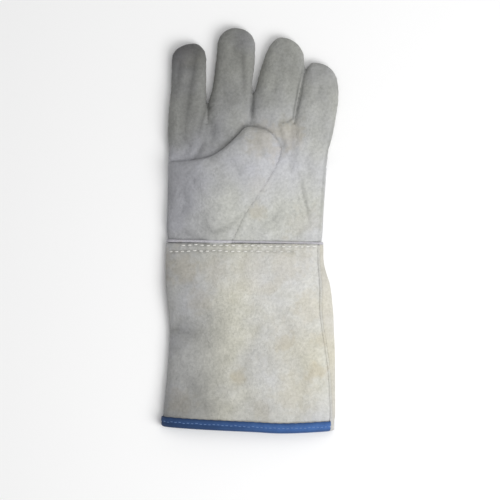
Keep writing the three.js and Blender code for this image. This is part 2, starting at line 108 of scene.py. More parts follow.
# The cuff's rows: y, left edge, right edge, top, and the side seam's distance from the right edge.
CUFF_ROWS: Rows = (
    (-190, -76.3, 73.4, 23.0, 2.8), (-172, -76.1, 73.9, 22.0, 3.2), (-160, -75.6, 74.8, 20.6, 3.6),
    (-144, -74.0, 74.8, 19.6, 4.2), (-122, -72.0, 74.7, 18.8, 5.4), (-100, -70.6, 74.4, 18.4, 8.0),
    (-85, -70.4, 73.7, 18.4, 9.8), (-69, -71.8, 73.0, 18.6, 11.0), (-47, -73.8, 70.4, 18.8, 8.4),
    (-28, -74.0, 65.2, 19.0, 4.6), (-12, -73.6, 64.4, 19.0, 4.0), (0, -73.4, 64.4, 19.0, 4.0),
)

# The hem's rows: x, y.
HEM_ROWS: Rows = (
    (-100, -168.6), (-70, -171.0), (-30, -173.2), (5, -174.8), (24, -175.9), (45, -175.6), (75, -174.4),
    (100, -174.4),
)

# The thumb's rows: section, upper x and y, lower x and y, lift of its rim over the palm, fullness.
THUMB_ROWS: Rows = (
    (0, -71.0, -17.5, -66.0, -20.5, 0, 0), (1, -71.3, -6.0, -56.0, -20.5, 0, 0.2),
    (2, -72.2, 10.0, -43.0, -20.5, 0, 0.8), (3, -71.7, 27.0, -32.0, -20.5, 0, 2.2),
    (4, -71.6, 44.0, -22.5, -20.5, 0, 4.6), (5, -71.2, 58.6, -14.4, -8.0, 0.6, 7.4),
    (6, -58.0, 60.8, -8.4, 5.0, 2.0, 8.4), (7, -46.2, 62.2, -2.2, 16.5, 2.4, 8.7),
    (8, -34.0, 65.0, 6.0, 28.6, 2.5, 8.7), (9, -22.2, 72.3, 14.8, 41.6, 2.5, 8.5),
    (10, -12.0, 81.7, 22.0, 54.4, 2.4, 8.2), (11, -3.6, 90.0, 26.4, 65.0, 2.2, 7.4),
    (12, 4.8, 90.5, 27.2, 70.6, 2.0, 6.6), (13, 12.0, 89.0, 26.2, 75.6, 1.9, 5.1),
    (14, 17.8, 86.2, 23.2, 80.4, 1.8, 2.4),
)

# The lines between the strips of the back, from the index finger on: y, x.
STRIP_LINES: tuple[Rows, ...] = (
    ((-30, -38.5), (30, -38.5), (80, -37.4), (112, -37.2), (124, -35.8), (150, -33.9), (200, -33.4)),
    ((-30, -4.0), (30, -3.0), (80, -0.6), (112, 2.4), (124, 3.2), (145, 6.8), (200, 10.5)),
    ((-30, 31.0), (30, 33.5), (80, 37.6), (112, 41.6), (124, 44.2), (140, 48.4), (200, 48.6)),
)


def smooth(t: Points) -> Points:
    """Ease from 0 to 1 with level ends."""
    t = np.clip(t, 0.0, 1.0)
    return t * t * (3.0 - 2.0 * t)


def mix(a: Points | float, b: Points | float, t: Points | float) -> Points:
    """Value between a and b at share t."""
    return a + (b - a) * t


def arch(u: Points, fullness: float) -> Points:
    """Height of a section over its ends as a share of its full height, u from -1 to 1 across it."""
    return np.sqrt(np.clip(1.0 - np.minimum(1.0, np.abs(u)) ** fullness, 0.0, None))


def bell(away: Points | float, width: float) -> Points:
    """A soft bump: 1 in its middle, fading with the distance from it."""
    return np.exp(-((away / width) ** 2))


def share_over(x: Points, span: tuple[float, float]) -> Points:
    """Share of the way over a span, given by its start and its length, held at its ends."""
    return np.clip((x - span[0]) / span[1], 0.0, 1.0)


def value_noise(points: Points, size: float, seed: int) -> Points:
    """Smooth noise from -1 to 1 with lumps of about the given size.

    Args:
        points: Places, in millimetres.
        size: Width of a lump, in millimetres.
        seed: Number that picks the pattern.

    Returns:
        One value for each place.
    """
    scaled = points / size + NOISE_SHIFT * seed
    cell = np.floor(scaled).astype(np.int64)
    part = smooth(scaled - cell)
    total = np.zeros(len(points))
    for corner in np.ndindex(2, 2, 2):
        mixed = (cell + np.array(corner)) @ np.array(NOISE_PRIMES[:3]) + seed * NOISE_PRIMES[3]
        mixed &= NOISE_MASK
        mixed = ((mixed ^ (mixed >> NOISE_BITS[0])) * NOISE_STIR) & NOISE_MASK
        value = ((mixed ^ (mixed >> NOISE_BITS[1])) & NOISE_LEVELS) / (NOISE_LEVELS / 2.0) - 1.0
        total += value * np.prod(np.where(np.array(corner) == 1, part, 1.0 - part), axis=1)
    return total


@dataclass(frozen=True)
class Ramp:
    """A soft step from 0 to 1 that starts at a place and takes a run, backwards if the run is negative."""

    start: float
    run: float

    def at(self, place: Points) -> Points:
        """Share of the step at each place."""
        return smooth((place - self.start) / self.run)


@dataclass(frozen=True)
class Dent:
    """A soft dent or shade along a line: how deep and how wide it is."""

    depth: float
    width: float

    def at(self, away: Points) -> Points:
        """Its depth at each distance from the line."""
        return self.depth * bell(away, self.width)


@dataclass(frozen=True)
class Slack:
    """Soft unevenness: its height, the size of its lumps in millimetres, and its seed."""

    height: float
    size: float
    seed: int

    def at(self, points: Points) -> Points:
        """Its height at each place."""
        return self.height * value_noise(points, self.size, self.seed)


@dataclass(frozen=True)
class Pucker:
    """Gathers along a seam: the length of one, and how unevenly they follow each other."""

    pitch: float
    drift: Slack

    def at(self, along: Points, points: Points) -> Points:
        """Wave from -1 to 1 at each place along the seam."""
        return np.sin(along * 2.0 * math.pi / self.pitch + self.drift.at(points))


EVERYWHERE = Ramp(-NOWHERE, 1.0)


@dataclass(frozen=True)
class Shade:
    """A change of tone that grows along x, along y or along both."""

    amount: float
    over_x: Ramp = EVERYWHERE
    over_y: Ramp = EVERYWHERE

    def at(self, x: Points, y: Points) -> Points:
        """Tone that the shade adds at each place."""
        return self.amount * self.over_x.at(x) * self.over_y.at(y)


@dataclass(frozen=True)
class Profile:
    """A table of sizes, read through a smooth curve and held level past its ends."""

    rows: Rows

    def at(self, column: int, y: Points) -> Points:
        """Read one column.

        Args:
            column: Number of the column, counted after the first.
            y: Places along the first column.

        Returns:
            The column's value at each place.
        """
        table = np.array(self.rows, float)
        keys, values = table[:, 0], table[:, column]
        slopes = np.empty_like(values)
        slopes[1:-1] = (values[2:] - values[:-2]) / (keys[2:] - keys[:-2])
        slopes[0] = (values[1] - values[0]) / (keys[1] - keys[0])
        slopes[-1] = (values[-1] - values[-2]) / (keys[-1] - keys[-2])
        y = np.clip(np.asarray(y, float), keys[0], keys[-1])
        i = np.clip(np.searchsorted(keys, y, side="right") - 1, 0, len(keys) - 2)
        span = keys[i + 1] - keys[i]
        t = (y - keys[i]) / span
        ends = mix(values[i], values[i + 1], smooth(t))
        return ends + t * (1.0 - t) * span * (slopes[i] * (1.0 - t) - slopes[i + 1] * t)


def along_line(x: Points, y: Points, line: Sequence[tuple[float, float]]) -> tuple[Points, Points]:
    """Measure places against a line seen from above.

    Args:
        x: Places' x.
        y: Places' y.
        line: Points of the line.

    Returns:
        Each place's distance from the line, and its share of the way along it.
    """
    nearest = np.full(np.shape(x), NOWHERE)
    along = np.zeros(np.shape(x))
    for k, (a, b) in enumerate(zip(line, line[1:])):
        dx, dy = b[0] - a[0], b[1] - a[1]
        t = np.clip(((x - a[0]) * dx + (y - a[1]) * dy) / max(dx * dx + dy * dy, TINY), 0.0, 1.0)
        away = np.hypot(x - a[0] - dx * t, y - a[1] - dy * t)
        closer = away < nearest
        nearest = np.where(closer, away, nearest)
        along = np.where(closer, (k + t) / (len(line) - 1), along)
    return nearest, along


@dataclass(frozen=True)
class Fold:
    """A crease in the leather along a line of places, in millimetres."""

    line: tuple[tuple[float, float], ...]
    width: float
    depth: float
    ridge: float = 0.35
    ends: tuple[float, float] = (0.12, 0.88)
    sharpness: float = 1.35
    shoulder: tuple[float, float] = (2.1, 0.95)
    # Painted shade in the fold's bottom: its width as a share of the fold's, its sharpness, and the fold depth at
    # which it is darkest.
    shade_width: float = 0.7
    shade_sharpness: float = 1.5
    full_shade: float = 2.4

    def taper(self, along: Points) -> Points:
        """Share of the fold's size at each share of its length."""
        return np.sin(np.pi * np.clip(mix(*self.ends, along), 0.0, 1.0))

    def height(self, x: Points, y: Points) -> Points:
        """Height that the fold adds: a valley with a low ridge on both sides.

        Args:
            x: Places' x.
            y: Places' y.

        Returns:
            The height at each place.
        """
        nearest, along = along_line(x, y, self.line)
        valley = np.exp(-np.abs(nearest / self.width) ** self.sharpness)
        shoulder_at, shoulder_width = self.shoulder
        shoulder = bell(nearest - shoulder_at * self.width, shoulder_width * self.width)
        return self.taper(along) * self.depth * (self.ridge * shoulder - valley)

    def crease_shade(self, x: Points, y: Points) -> Points:
        """Painted shade in the fold's bottom: how much darker it is.

        Args:
            x: Places' x.
            y: Places' y.

        Returns:
            The shade at each place, from 0 to 1.
        """
        nearest, along = along_line(x, y, self.line)
        most = min(1.0, self.depth / self.full_shade)
        away = np.abs(nearest / (self.shade_width * self.width))
        return self.taper(along) * most * np.exp(-away ** self.shade_sharpness)


HAND = Profile(HAND_ROWS)
CUFF = Profile(CUFF_ROWS)
HEM = Profile(HEM_ROWS)
THUMB = Profile(THUMB_ROWS)
STRIPS = tuple(Profile(rows) for rows in STRIP_LINES)

PALM_FOLDS = (
    Fold(((-46.5, 156), (-49.0, 140), (-53.5, 112), (-57.5, 82)), 4.2, 1.2),
    Fold(((-61.0, 150), (-63.0, 128)), 2.2, 0.6),
    Fold(((-6.5, 154), (-5.6, 136), (-5.0, 116)), 2.4, 1.1),
    Fold(((-21.0, 150), (-23.5, 124), (-22.5, 108)), 3.0, 0.35),
    Fold(((-37.5, 109), (-40.5, 100), (-45.0, 84)), 2.4, 1.2),
    Fold(((-33.0, 106), (-31.2, 88), (-34.7, 70)), 2.6, 0.45),
    Fold(((-41.0, 77), (-44.5, 69), (-49.0, 62)), 2.4, 1.4),
    Fold(((3.1, 117), (1.8, 107), (0.6, 99)), 1.6, 0.9, 0.1),
    Fold(((40.0, 100), (34.0, 95.0), (24.0, 94.6)), 2.0, 1.0),
    Fold(((24.6, 93), (27.5, 83), (29.8, 71)), 2.2, 1.2),
    Fold(((36.0, 93), (37.5, 76), (35.6, 56)), 2.8, 0.8),
    Fold(((41.6, 52), (45.3, 36), (49.6, 19), (52.0, 6)), 1.5, 1.1),
    Fold(((54.0, 72), (50.0, 62), (52.0, 50)), 3.4, 0.9),
    Fold(((62.0, 128), (58.0, 112)), 3.0, 0.4),
    Fold(((26.0, 150), (22.0, 128), (20.0, 112)), 3.4, 0.4),
    Fold(((38.0, 146), (35.0, 128)), 3.0, 0.3),
    Fold(((-60.0, 84), (-52.0, 74), (-58.0, 66)), 3.0, 0.8),
    Fold(((10.0, 4), (22.0, 12), (30.0, 26)), 3.6, 0.7),
)

THUMB_FOLDS = (
    Fold(((-8.4, 12.1), (-19.8, 3.0), (-33.0, -1.0), (-46.0, 4.5)), 3.0, 1.3),
    Fold(((-57.0, 52), (-46.0, 40), (-40.0, 30)), 4.0, 0.5),
    Fold(((-20.0, 66), (-12.0, 56), (-7.0, 44)), 3.4, 0.9),
    Fold(((2.0, 82), (10.0, 72), (14.0, 62)), 3.0, 0.8),
    Fold(((-62.0, 12), (-56.0, 24), (-58.0, 40)), 3.6, 0.8),
    Fold(((-40.0, -8), (-52.0, -4), (-64.0, 2)), 3.0, 0.9),
)

CUFF_FOLDS = (
    Fold(((-76.0, -88), (-60.0, -88), (-42.0, -92)), 9.0, 1.2),
    Fold(((20.0, -48), (34.0, -84), (46.0, -132), (48.0, -160)), 8.0, 0.9),
    Fold(((-30.0, -30), (-38.0, -64), (-34.0, -104)), 9.0, 0.5),
    Fold(((2.0, -92), (-6.0, -124), (2.0, -156)), 9.0, 0.9),
    Fold(((62.0, -40), (66.0, -74), (67.0, -112)), 3.6, 1.1),
    Fold(((-66.0, -124), (-52.0, -132), (-40.0, -152)), 7.0, 0.9),
)


WRIST_ROWS = (
    ((-58.0, -12.5), (-38.0, -12.7), (-11.0, -13.1), (2.0, -13.4), (33.0, -13.9), (56.0, -14.0)),
    ((-69.0, -18.4), (-50.0, -17.8), (-38.0, -17.5), (-11.0, -18.0), (7.0, -18.1)),
    ((9.0, -18.2), (28.0, -18.1), (40.0, -18.4)),
)
BACK_WRIST_ROWS = (((-69.0, -13.2), (60.0, -15.3)), ((-69.0, -18.6), (60.0, -21.0)))
STRAP_ROWS = (((-68.0, 63.9), (62.0, 52.2)), ((-68.0, 57.9), (62.0, 46.2)))
BINDING_ROW = ((-74.5, -166.7), (-30.0, -169.2), (5.0, -171.1), (24.0, -172.3), (45.0, -172.1), (69.5, -171.1))


# Narrow lines of painted shade in creases, finger gaps and along the right side seam: their places, width and
# darkness.
SHADE_LINES = (
    (
        ((45.8, 140.4), (42.6, 126.4), (40.9, 117.1), (38.7, 104.8), (37.8, 97.8), (32.5, 95.1), (26.4, 94.3)),
        0.9, 0.28,
    ),
    (((47.0, 139.1), (46.6, 128.1), (45.7, 120.2), (43.5, 111.4), (41.8, 104.8), (40.9, 100.0)), 0.9, 0.20),
    (((2.6, 119), (1.9, 109), (0.9, 100.5)), 1.5, 0.17),
    (
        (
            (60.2, -12), (60.8, 0), (62.6, 16), (63.6, 30), (64.6, 44), (65.9, 58), (68.3, 72), (71.4, 86),
            (73.8, 98),
        ),
        1.2, 0.22,
    ),
    (((-38.5, 112), (-36.0, 107), (-33.0, 106)), 2.0, 0.16),
)


def thumb_edge(column: int = UPPER_X) -> tuple[tuple[float, float], ...]:
    """Places along one edge of the thumb, and over its tip for the upper edge.

    Args:
        column: Column of the edge's x in the thumb's rows, followed by its y.

    Returns:
        The places, from the wrist on.
    """
    last = THUMB_ROWS[-1][0]
    steps = np.linspace(0.0, last, EDGE_STEPS)
    line = list(zip(THUMB.at(column, steps).tolist(), THUMB.at(column + 1, steps).tolist()))
    return (*line, (float(THUMB.at(LOWER_X, last)), float(THUMB.at(LOWER_Y, last))))


def middle_and_half(profile: Profile, y: float) -> tuple[float, float]:
    """Middle and half the width of a section, from its left and right edges."""
    left, right = (float(profile.at(column, y)) for column in (LEFT, RIGHT))
    return (left + right) / 2.0, (right - left) / 2.0


def hand_top(x: Points, y: Points) -> Points:
    """Height of the hand's palm side, without its fingers."""
    left, right, top = (HAND.at(column, y) for column in (LEFT, RIGHT, TOP))
    return SEAM_Z + (top - SEAM_Z) * arch((2.0 * x - left - right) / (right - left), PALM_FULL)


def back_lift(x: Points, y: Points) -> Points:
    """How far the back stands off the table, where it rests on the strap or the cuff."""
    side = share_over(x, STRAP_SPAN)
    return LAP * smooth((mix(*STRAP_TOP, side) + STRAP_RUN + STRAP_RAMP - y) / STRAP_RAMP)


def hem_lift(y: Points) -> Points:
    """How far the hem's tape lifts the cuff off the table."""
    return (GAP + TAPE) * smooth((HEM_LOW + BINDING_DEPTH + 2 * STRAP_RAMP - y) / STRAP_RAMP)


def underside(u: Points, flat: float, floor: Points) -> Points:
    """Height of a section's underside: flat, then rolled up to the side seam at both edges."""
    roll = np.clip((np.abs(u) - flat) / (1.0 - flat), 0.0, 1.0)
    return floor + (SEAM_Z - SEAM_SIDE - floor) * (1.0 - arch(roll, ROUND_FULL))


def across(count: int) -> Points:
    """Places from -1 to 1, closer together at both ends."""
    turned = -np.cos(np.linspace(0.0, math.pi, count))
    return np.sign(turned) * np.abs(turned) ** CROWDING


def resample(line: Points, count: int) -> Points:
    """Spread points evenly along a line.

    Args:
        line: Points of the line, one row each.
        count: Number of points wanted.

    Returns:
        The evenly spread points.
    """
    steps = np.linalg.norm(np.diff(line, axis=0), axis=1)
    length = np.concatenate([[0.0], np.cumsum(steps)])
    at = np.linspace(0.0, length[-1], count)
    return np.stack([np.interp(at, length, line[:, k]) for k in range(line.shape[1])], axis=1)


def grid_faces(rows: int, columns: int, closed: bool = False) -> list[tuple[int, ...]]:
    """Four-sided faces over a grid of points.

    Args:
        rows: Number of rows.
        columns: Number of points in a row.
        closed: Whether each row joins its own start.

    Returns:
        The faces as point numbers.
    """
    faces = []
    for i in range(rows - 1):
        for j in range(columns if closed else columns - 1):
            k = (j + 1) % columns
            faces.append((i * columns + j, i * columns + k, (i + 1) * columns + k, (i + 1) * columns + j))
    return faces


def tube_faces(rings: int, size: int) -> list[tuple[int, ...]]:
    """Faces of a closed tube with flat ends.

    Args:
        rings: Number of its rings.
        size: Number of points in a ring.

    Returns:
        The faces as point numbers.
    """
    ends = [tuple(range(size))[::-1], tuple(range((rings - 1) * size, rings * size))]
    return grid_faces(rings, size, closed=True) + ends


def linked(name: str, data: bpy.types.ID) -> bpy.types.Object:
    """Put an object with the given data into the scene.

    Args:
        name: Name of the object.
        data: Its mesh, light or camera.

    Returns:
        The object.
    """
    thing = bpy.data.objects.new(name, data)
    bpy.context.scene.collection.objects.link(thing)
    return thing


def make_mesh(name: str, points: Points, faces: Iterable[Sequence[int]], placed: bool = True) -> bpy.types.Object:
    """Make a mesh object.

    Args:
        name: Name of the object.
        points: Its points, in millimetres in pattern coordinates.
        faces: Its faces as point numbers.
        placed: Whether the points are moved into the frame's metres.

    Returns:
        The object, linked to the scene.
    """
    mesh = bpy.data.meshes.new(name)
    places = (points + SHIFT) / MM if placed else points
    mesh.from_pydata(places.tolist(), [], [tuple(int(i) for i in face) for face in faces])
    mesh.update()
    return linked(name, mesh)


def mesh_points(piece: bpy.types.Object) -> Points:
    """Points of a placed mesh, back in millimetres in pattern coordinates.

    Args:
        piece: The placed piece.

    Returns:
        Its points, one row each.
    """
    flat = np.empty(len(piece.data.vertices) * 3)
    piece.data.vertices.foreach_get("co", flat)
    return flat.reshape(-1, 3) * MM - SHIFT


def plain_mesh(piece: bpy.types.Object) -> bpy.types.Object:
    """Turn a piece with modifiers into a plain mesh.

    Args:
        piece: The piece.

    Returns:
        The same piece, without modifiers.
    """
    graph = bpy.context.evaluated_depsgraph_get()
    mesh = bpy.data.meshes.new_from_object(piece.evaluated_get(graph))
    piece.modifiers.clear()
    piece.data = mesh
    return piece


def thicken(piece: bpy.types.Object, wall: float = LEATHER) -> bpy.types.Object:
    """Give an open skin its wall, inwards, with closed rims.

    Args:
        piece: The skin.
        wall: Thickness of the wall, in millimetres.

    Returns:
        The same piece, now solid.
    """
    solid = piece.modifiers.new("wall", "SOLIDIFY")
    solid.thickness = wall / MM
    solid.offset = -1.0
    solid.use_rim = True
    return plain_mesh(piece)


def turn_outwards(piece: bpy.types.Object, skin: bool = False) -> None:
    """Turn the faces of a piece outwards.

    Args:
        piece: The piece.
        skin: Whether it is still an open skin, whose top is to face up.
    """
    form = bmesh.new()
    form.from_mesh(piece.data)
    bmesh.ops.recalc_face_normals(form, faces=form.faces)
    top = max(form.faces, key=lambda face: face.calc_center_median().z)
    if skin and top.normal.z < 0:
        bmesh.ops.reverse_faces(form, faces=form.faces)
    form.to_mesh(piece.data)
    form.free()


def paint(piece: bpy.types.Object, name: str, values: Points) -> None:
    """Store one number for each point of a piece, for its material to read."""
    layer = piece.data.attributes.new(name, "FLOAT", "POINT")
    layer.data.foreach_set("value", values.astype(np.float32))


def shade_smooth(piece: bpy.types.Object) -> None:
    """Shade all faces of a piece smooth."""
    piece.data.polygons.foreach_set("use_smooth", [True] * len(piece.data.polygons))


def face_normals(points: Points, quads: Points) -> Points:
    """Normals of four-sided faces, as long as twice their area."""
    a, b, c, d = (points[quads[:, k]] for k in range(4))
    return np.cross(c - a, d - b)


def facing(points: Points, faces: list[tuple[int, ...]], up: bool = True) -> list[tuple[int, ...]]:
    """Wind a skin's faces so that it faces up, or down, as a whole.

    Args:
        points: Points of the skin.
        faces: Its four-sided faces, all wound alike.
        up: Whether it is to face up.

    Returns:
        The faces, turned over where they faced the other way.
    """
    seen = face_normals(points, np.array(faces))[:, 2]
    return faces if (seen.sum() > 0) == up else [face[::-1] for face in faces]


def move_along_normals(points: Points, faces: Sequence[Sequence[int]], height: Points) -> Points:
    """Move each point along the surface's normal there.

    Args:
        points: Points of the surface.
        faces: Its four-sided faces.
        height: Distance for each point.

    Returns:
        The moved points.
    """
    quads = np.array(faces)
    normals = np.zeros_like(points)
    for k in range(4):
        np.add.at(normals, quads[:, k], face_normals(points, quads))
    normals /= np.maximum(TINY, np.linalg.norm(normals, axis=1, keepdims=True))
    return points + normals * height[:, None]


def leather_sheet(
    name: str, rings: list[Points], relief: Callable[[Points], Points], up: bool = True
) -> bpy.types.Object:
    """Make a walled sheet of leather from its sections.

    Args:
        name: Name of the sheet.
        rings: Its sections, with the same number of points each.
        relief: Gives the height of folds and slack at each place.
        up: Whether its outside faces up.

    Returns:
        The sheet.
    """
    points = np.concatenate(rings)
    faces = facing(points, grid_faces(len(rings), len(rings[0])), up)
    return thicken(make_mesh(name, move_along_normals(points, faces, relief(points)), faces))


COLOUR_A, COLOUR_B, COLOUR_RESULT = 6, 7, 2


class Finish(Enum):
    """The finishes of the glove's pieces."""

    PALM = "suede_palm"
    CUFF = "suede_cuff"
    STRAP = "grain_strap"
    WELT = "grey_welt"
    PALE_WELT = "pale_welt"
    TAPE = "blue_tape"
    THREAD = "white_thread"
    TAPE_THREAD = "pale_blue_thread"


@dataclass(frozen=True)
class LeatherFinish:
    """Colours and grain of one kind of leather."""

    name: str
    light: tuple[float, float, float]
    dark: tuple[float, float, float]
    tint: tuple[float, float, float]
    stain: tuple[float, float, float] = (0.46, 0.38, 0.22)
    depth: float = 0.72
    roughness: float = 0.9
    grain: float = 0.5
    lumps: float = 0.6
    specular: float = 0.2
    sheen: float = 0.12
    sheen_roughness: float = 0.6
    nap_height: float = 0.0004
    lump_height: float = 0.0009

    def material(self) -> bpy.types.Material:
        """Build the leather's material.

        Returns:
            The material.
        """
        tree = Tree.for_material(self.name)
        place = tree.add("ShaderNodeTexCoord").outputs["Object"]
        nap = tree.add("ShaderNodeGroup", node_tree=suede_nap_group())
        tree.link(place, nap.inputs["Place"])
        base = tree.mix_colour(nap.outputs["Mottle"], self.dark, self.light)
        cool = tree.maths("ADD", nap.outputs["Tint"], tree.attribute("cool"))
        shadow = tuple(channel * self.depth for channel in self.tint)
        tinted = tree.mix_colour(cool, base, tree.mix_colour(nap.outputs["Mottle"], shadow, self.tint))
        stained = tree.mix_colour(tree.attribute("stain"), tinted, self.stain)
        shader = tree.shader
        tree.link(tree.toned(stained), shader.inputs["Base Color"])
        shader.inputs["Roughness"].default_value = self.roughness
        shader.inputs["Specular IOR Level"].default_value = self.specular
        shader.inputs["Sheen Weight"].default_value = self.sheen
        shader.inputs["Sheen Roughness"].default_value = self.sheen_roughness
        lumps = tree.bump(nap.outputs["Lumps"], self.lumps, self.lump_height)
        tree.link(tree.bump(nap.outputs["Nap"], self.grain, self.nap_height, lumps), shader.inputs["Normal"])
        return tree.material


@dataclass(frozen=True)
class ThreadFinish:
    """Colour of a sewing thread."""

    name: str
    colour: tuple[float, float, float]
    depth: float = 0.72
    roughness: float = 0.7
    twist_scale: float = 2600.0
    twist_detail: float = 2.0
    twist_strength: float = 0.4
    twist_height: float = 0.0002

    def material(self) -> bpy.types.Material:
        """Build the thread's material, with a fine twist.

        Returns:
            The material.
        """
        tree = Tree.for_material(self.name)
        place = tree.add("ShaderNodeTexCoord").outputs["Object"]
        twist = tree.noise(place, self.twist_scale, self.twist_detail)
        dark = tuple(channel * self.depth for channel in self.colour)
        tree.link(tree.mix_colour(twist, dark, self.colour), tree.shader.inputs["Base Color"])
        tree.shader.inputs["Roughness"].default_value = self.roughness
        tree.link(tree.bump(twist, self.twist_strength, self.twist_height), tree.shader.inputs["Normal"])
        return tree.material


@dataclass(frozen=True)
class TapeFinish:
    """Colours of the woven hem tape."""

    name: str
    light: tuple[float, float, float]
    dark: tuple[float, float, float]
    rib: float = 0.9
    weft: float = 0.7
    wear_scale: float = 160.0
    wear_detail: float = 4.0
    contrast: float = 0.55
    roughness: float = 0.85
    sheen: float = 0.06
    specular: float = 0.3
    weave_strength: float = 0.6
    weave_height: float = 0.0004

    def material(self) -> bpy.types.Material:
        """Build the tape's material: ribs along its length over a fine weave, read from the tape's own map.

        Returns:
            The material.
        """
        tree = Tree.for_material(self.name)
        flow = tree.add("ShaderNodeUVMap", uv_map="tape").outputs["UV"]
        place = tree.add("ShaderNodeTexCoord").outputs["Object"]
        split = tree.add("ShaderNodeSeparateXYZ")
        tree.link(flow, split.inputs["Vector"])
        warp = tree.wave(split.outputs["X"], 2.0 * math.pi / (self.rib / MM))
        weft = tree.wave(split.outputs["Y"], 2.0 * math.pi / (self.weft / MM))
        weave = tree.maths("MULTIPLY", warp, weft)
        wear = tree.noise(place, self.wear_scale, self.wear_detail)
        shade = tree.maths("MULTIPLY", tree.maths("ADD", weave, wear), self.contrast)
        tree.link(tree.toned(tree.mix_colour(shade, self.dark, self.light)), tree.shader.inputs["Base Color"])
        tree.shader.inputs["Roughness"].default_value = self.roughness
        tree.shader.inputs["Sheen Weight"].default_value = self.sheen
        tree.shader.inputs["Specular IOR Level"].default_value = self.specular
        tree.link(tree.bump(weave, self.weave_strength, self.weave_height), tree.shader.inputs["Normal"])
        return tree.material


@dataclass
class Tree:
    """A shader tree under construction, with short ways to add its nodes."""

    tree: bpy.types.NodeTree
    material: bpy.types.Material | None = None
    shader: bpy.types.Node | None = None

    @classmethod
    def for_material(cls, name: str) -> "Tree":
        """Start a material with one Principled shader.

        Args:
            name: Name of the material.

        Returns:
            Its tree, with the shader in it.
        """
        material = bpy.data.materials.new(name)
        material.use_nodes = True
        shader = material.node_tree.nodes["Principled BSDF"]
        return cls(material.node_tree, material, shader)

    def add(self, kind: str, **settings: object) -> bpy.types.Node:
        """Add a node and set its properties.

        Args:
            kind: Kind of the node.
            **settings: Its properties.

        Returns:
            The node.
        """
        node = self.tree.nodes.new(kind)
        for key, value in settings.items():
            setattr(node, key, value)
        return node

    def link(self, source: bpy.types.NodeSocket, target: bpy.types.NodeSocket) -> None:
        """Join two sockets."""
        self.tree.links.new(source, target)

    def feed(self, socket: bpy.types.NodeSocket, value: object) -> None:
        """Give a socket a link, a number or a colour.

        Args:
            socket: The socket.
            value: What it is given.
        """
        if isinstance(value, bpy.types.NodeSocket):
            self.link(value, socket)
        elif isinstance(value, tuple):
            socket.default_value = (*value, 1.0)
        else:
            socket.default_value = value

    def attribute(self, name: str) -> bpy.types.NodeSocket:
        """Read a number stored on the piece's points."""
        return self.add("ShaderNodeAttribute", attribute_name=name).outputs["Fac"]

    def make(
        self, kind: str, output: str | int, inputs: dict[str | int, object], **settings: object
    ) -> bpy.types.NodeSocket:
        """Add a node, feed its inputs and take one of its outputs.

        Args:
            kind: Kind of the node.
            output: The output that is wanted.
            inputs: What each input is given.
            **settings: The node's properties.

        Returns:
            The output's socket.
        """
        node = self.add(kind, **settings)
        for key, value in inputs.items():
            self.feed(node.inputs[key], value)
        return node.outputs[output]

    def noise(self, place: bpy.types.NodeSocket, scale: float, detail: float) -> bpy.types.NodeSocket:
        """Noise at a place, scale in lumps per metre."""
        return self.make("ShaderNodeTexNoise", "Fac", {"Vector": place, "Scale": scale, "Detail": detail})

    def maths(self, operation: str, first: object, second: object = 0.0) -> bpy.types.NodeSocket:
        """One step of arithmetic."""
        return self.make("ShaderNodeMath", "Value", {0: first, 1: second}, operation=operation)

    def wave(self, along: bpy.types.NodeSocket, turns: float) -> bpy.types.NodeSocket:
        """A wave from 0 to 1 along a coordinate."""
        turned = self.maths("SINE", self.maths("MULTIPLY", along, turns))
        return self.maths("MULTIPLY", self.maths("ADD", turned, 1.0), 0.5)

    def spread(self, value: bpy.types.NodeSocket, low: float, high: float) -> bpy.types.NodeSocket:
        """Stretch the range from low to high over 0 to 1."""
        return self.make("ShaderNodeMapRange", "Result", {"Value": value, "From Min": low, "From Max": high})

    def mix_colour(self, share: object, first: object, second: object, how: str = "MIX") -> bpy.types.NodeSocket:
        """Mix two colours."""
        inputs = {"Factor": share, COLOUR_A: first, COLOUR_B: second}
        return self.make("ShaderNodeMix", COLOUR_RESULT, inputs, data_type="RGBA", blend_type=how)

    def toned(self, colour: bpy.types.NodeSocket) -> bpy.types.NodeSocket:
        """Darken or lighten a colour by the tone painted on the piece."""
        return self.mix_colour(1.0, colour, self.grey(self.attribute("tone")), "MULTIPLY")

    def grey(self, value: bpy.types.NodeSocket) -> bpy.types.NodeSocket:
        """Turn a number into a grey."""
        return self.make("ShaderNodeCombineColor", "Color", {"Red": value, "Green": value, "Blue": value})

    def bump(
        self, height: bpy.types.NodeSocket, strength: float, distance: float, under: object = None
    ) -> bpy.types.NodeSocket:
        """Turn a height into a surface direction, over another one if given.

        Args:
            height: Socket with the height.
            strength: Share of the effect.
            distance: Height of 1, in metres.
            under: Socket with the direction below, if there is one.

        Returns:
            Socket with the direction.
        """
        inputs = {"Height": height, "Strength": strength, "Distance": distance}
        if under is not None:
            inputs["Normal"] = under
        return self.make("ShaderNodeBump", "Normal", inputs)


# Layers of the nap: lumps per metre, detail, and the range that is stretched over 0 to 1.
NAP_LAYERS = {
    "wide": (26.0, 4.0, 0.30, 0.70),
    "patches": (120.0, 4.0, 0.30, 0.70),
    "pores": (420.0, 4.0, 0.36, 0.64),
    "fibres": (1300.0, 5.0, 0.36, 0.64),
    "tint": (15.0, 5.0, 0.42, 0.72),
}
NAP_OUTPUTS = {
    "Mottle": {"wide": 0.20, "patches": 0.22, "pores": 0.38, "fibres": 0.20},
    "Tint": {"tint": 1.0},
    "Nap": {"fibres": 1.0, "pores": 0.7},
    "Lumps": {"patches": 1.0, "wide": 0.5},
}


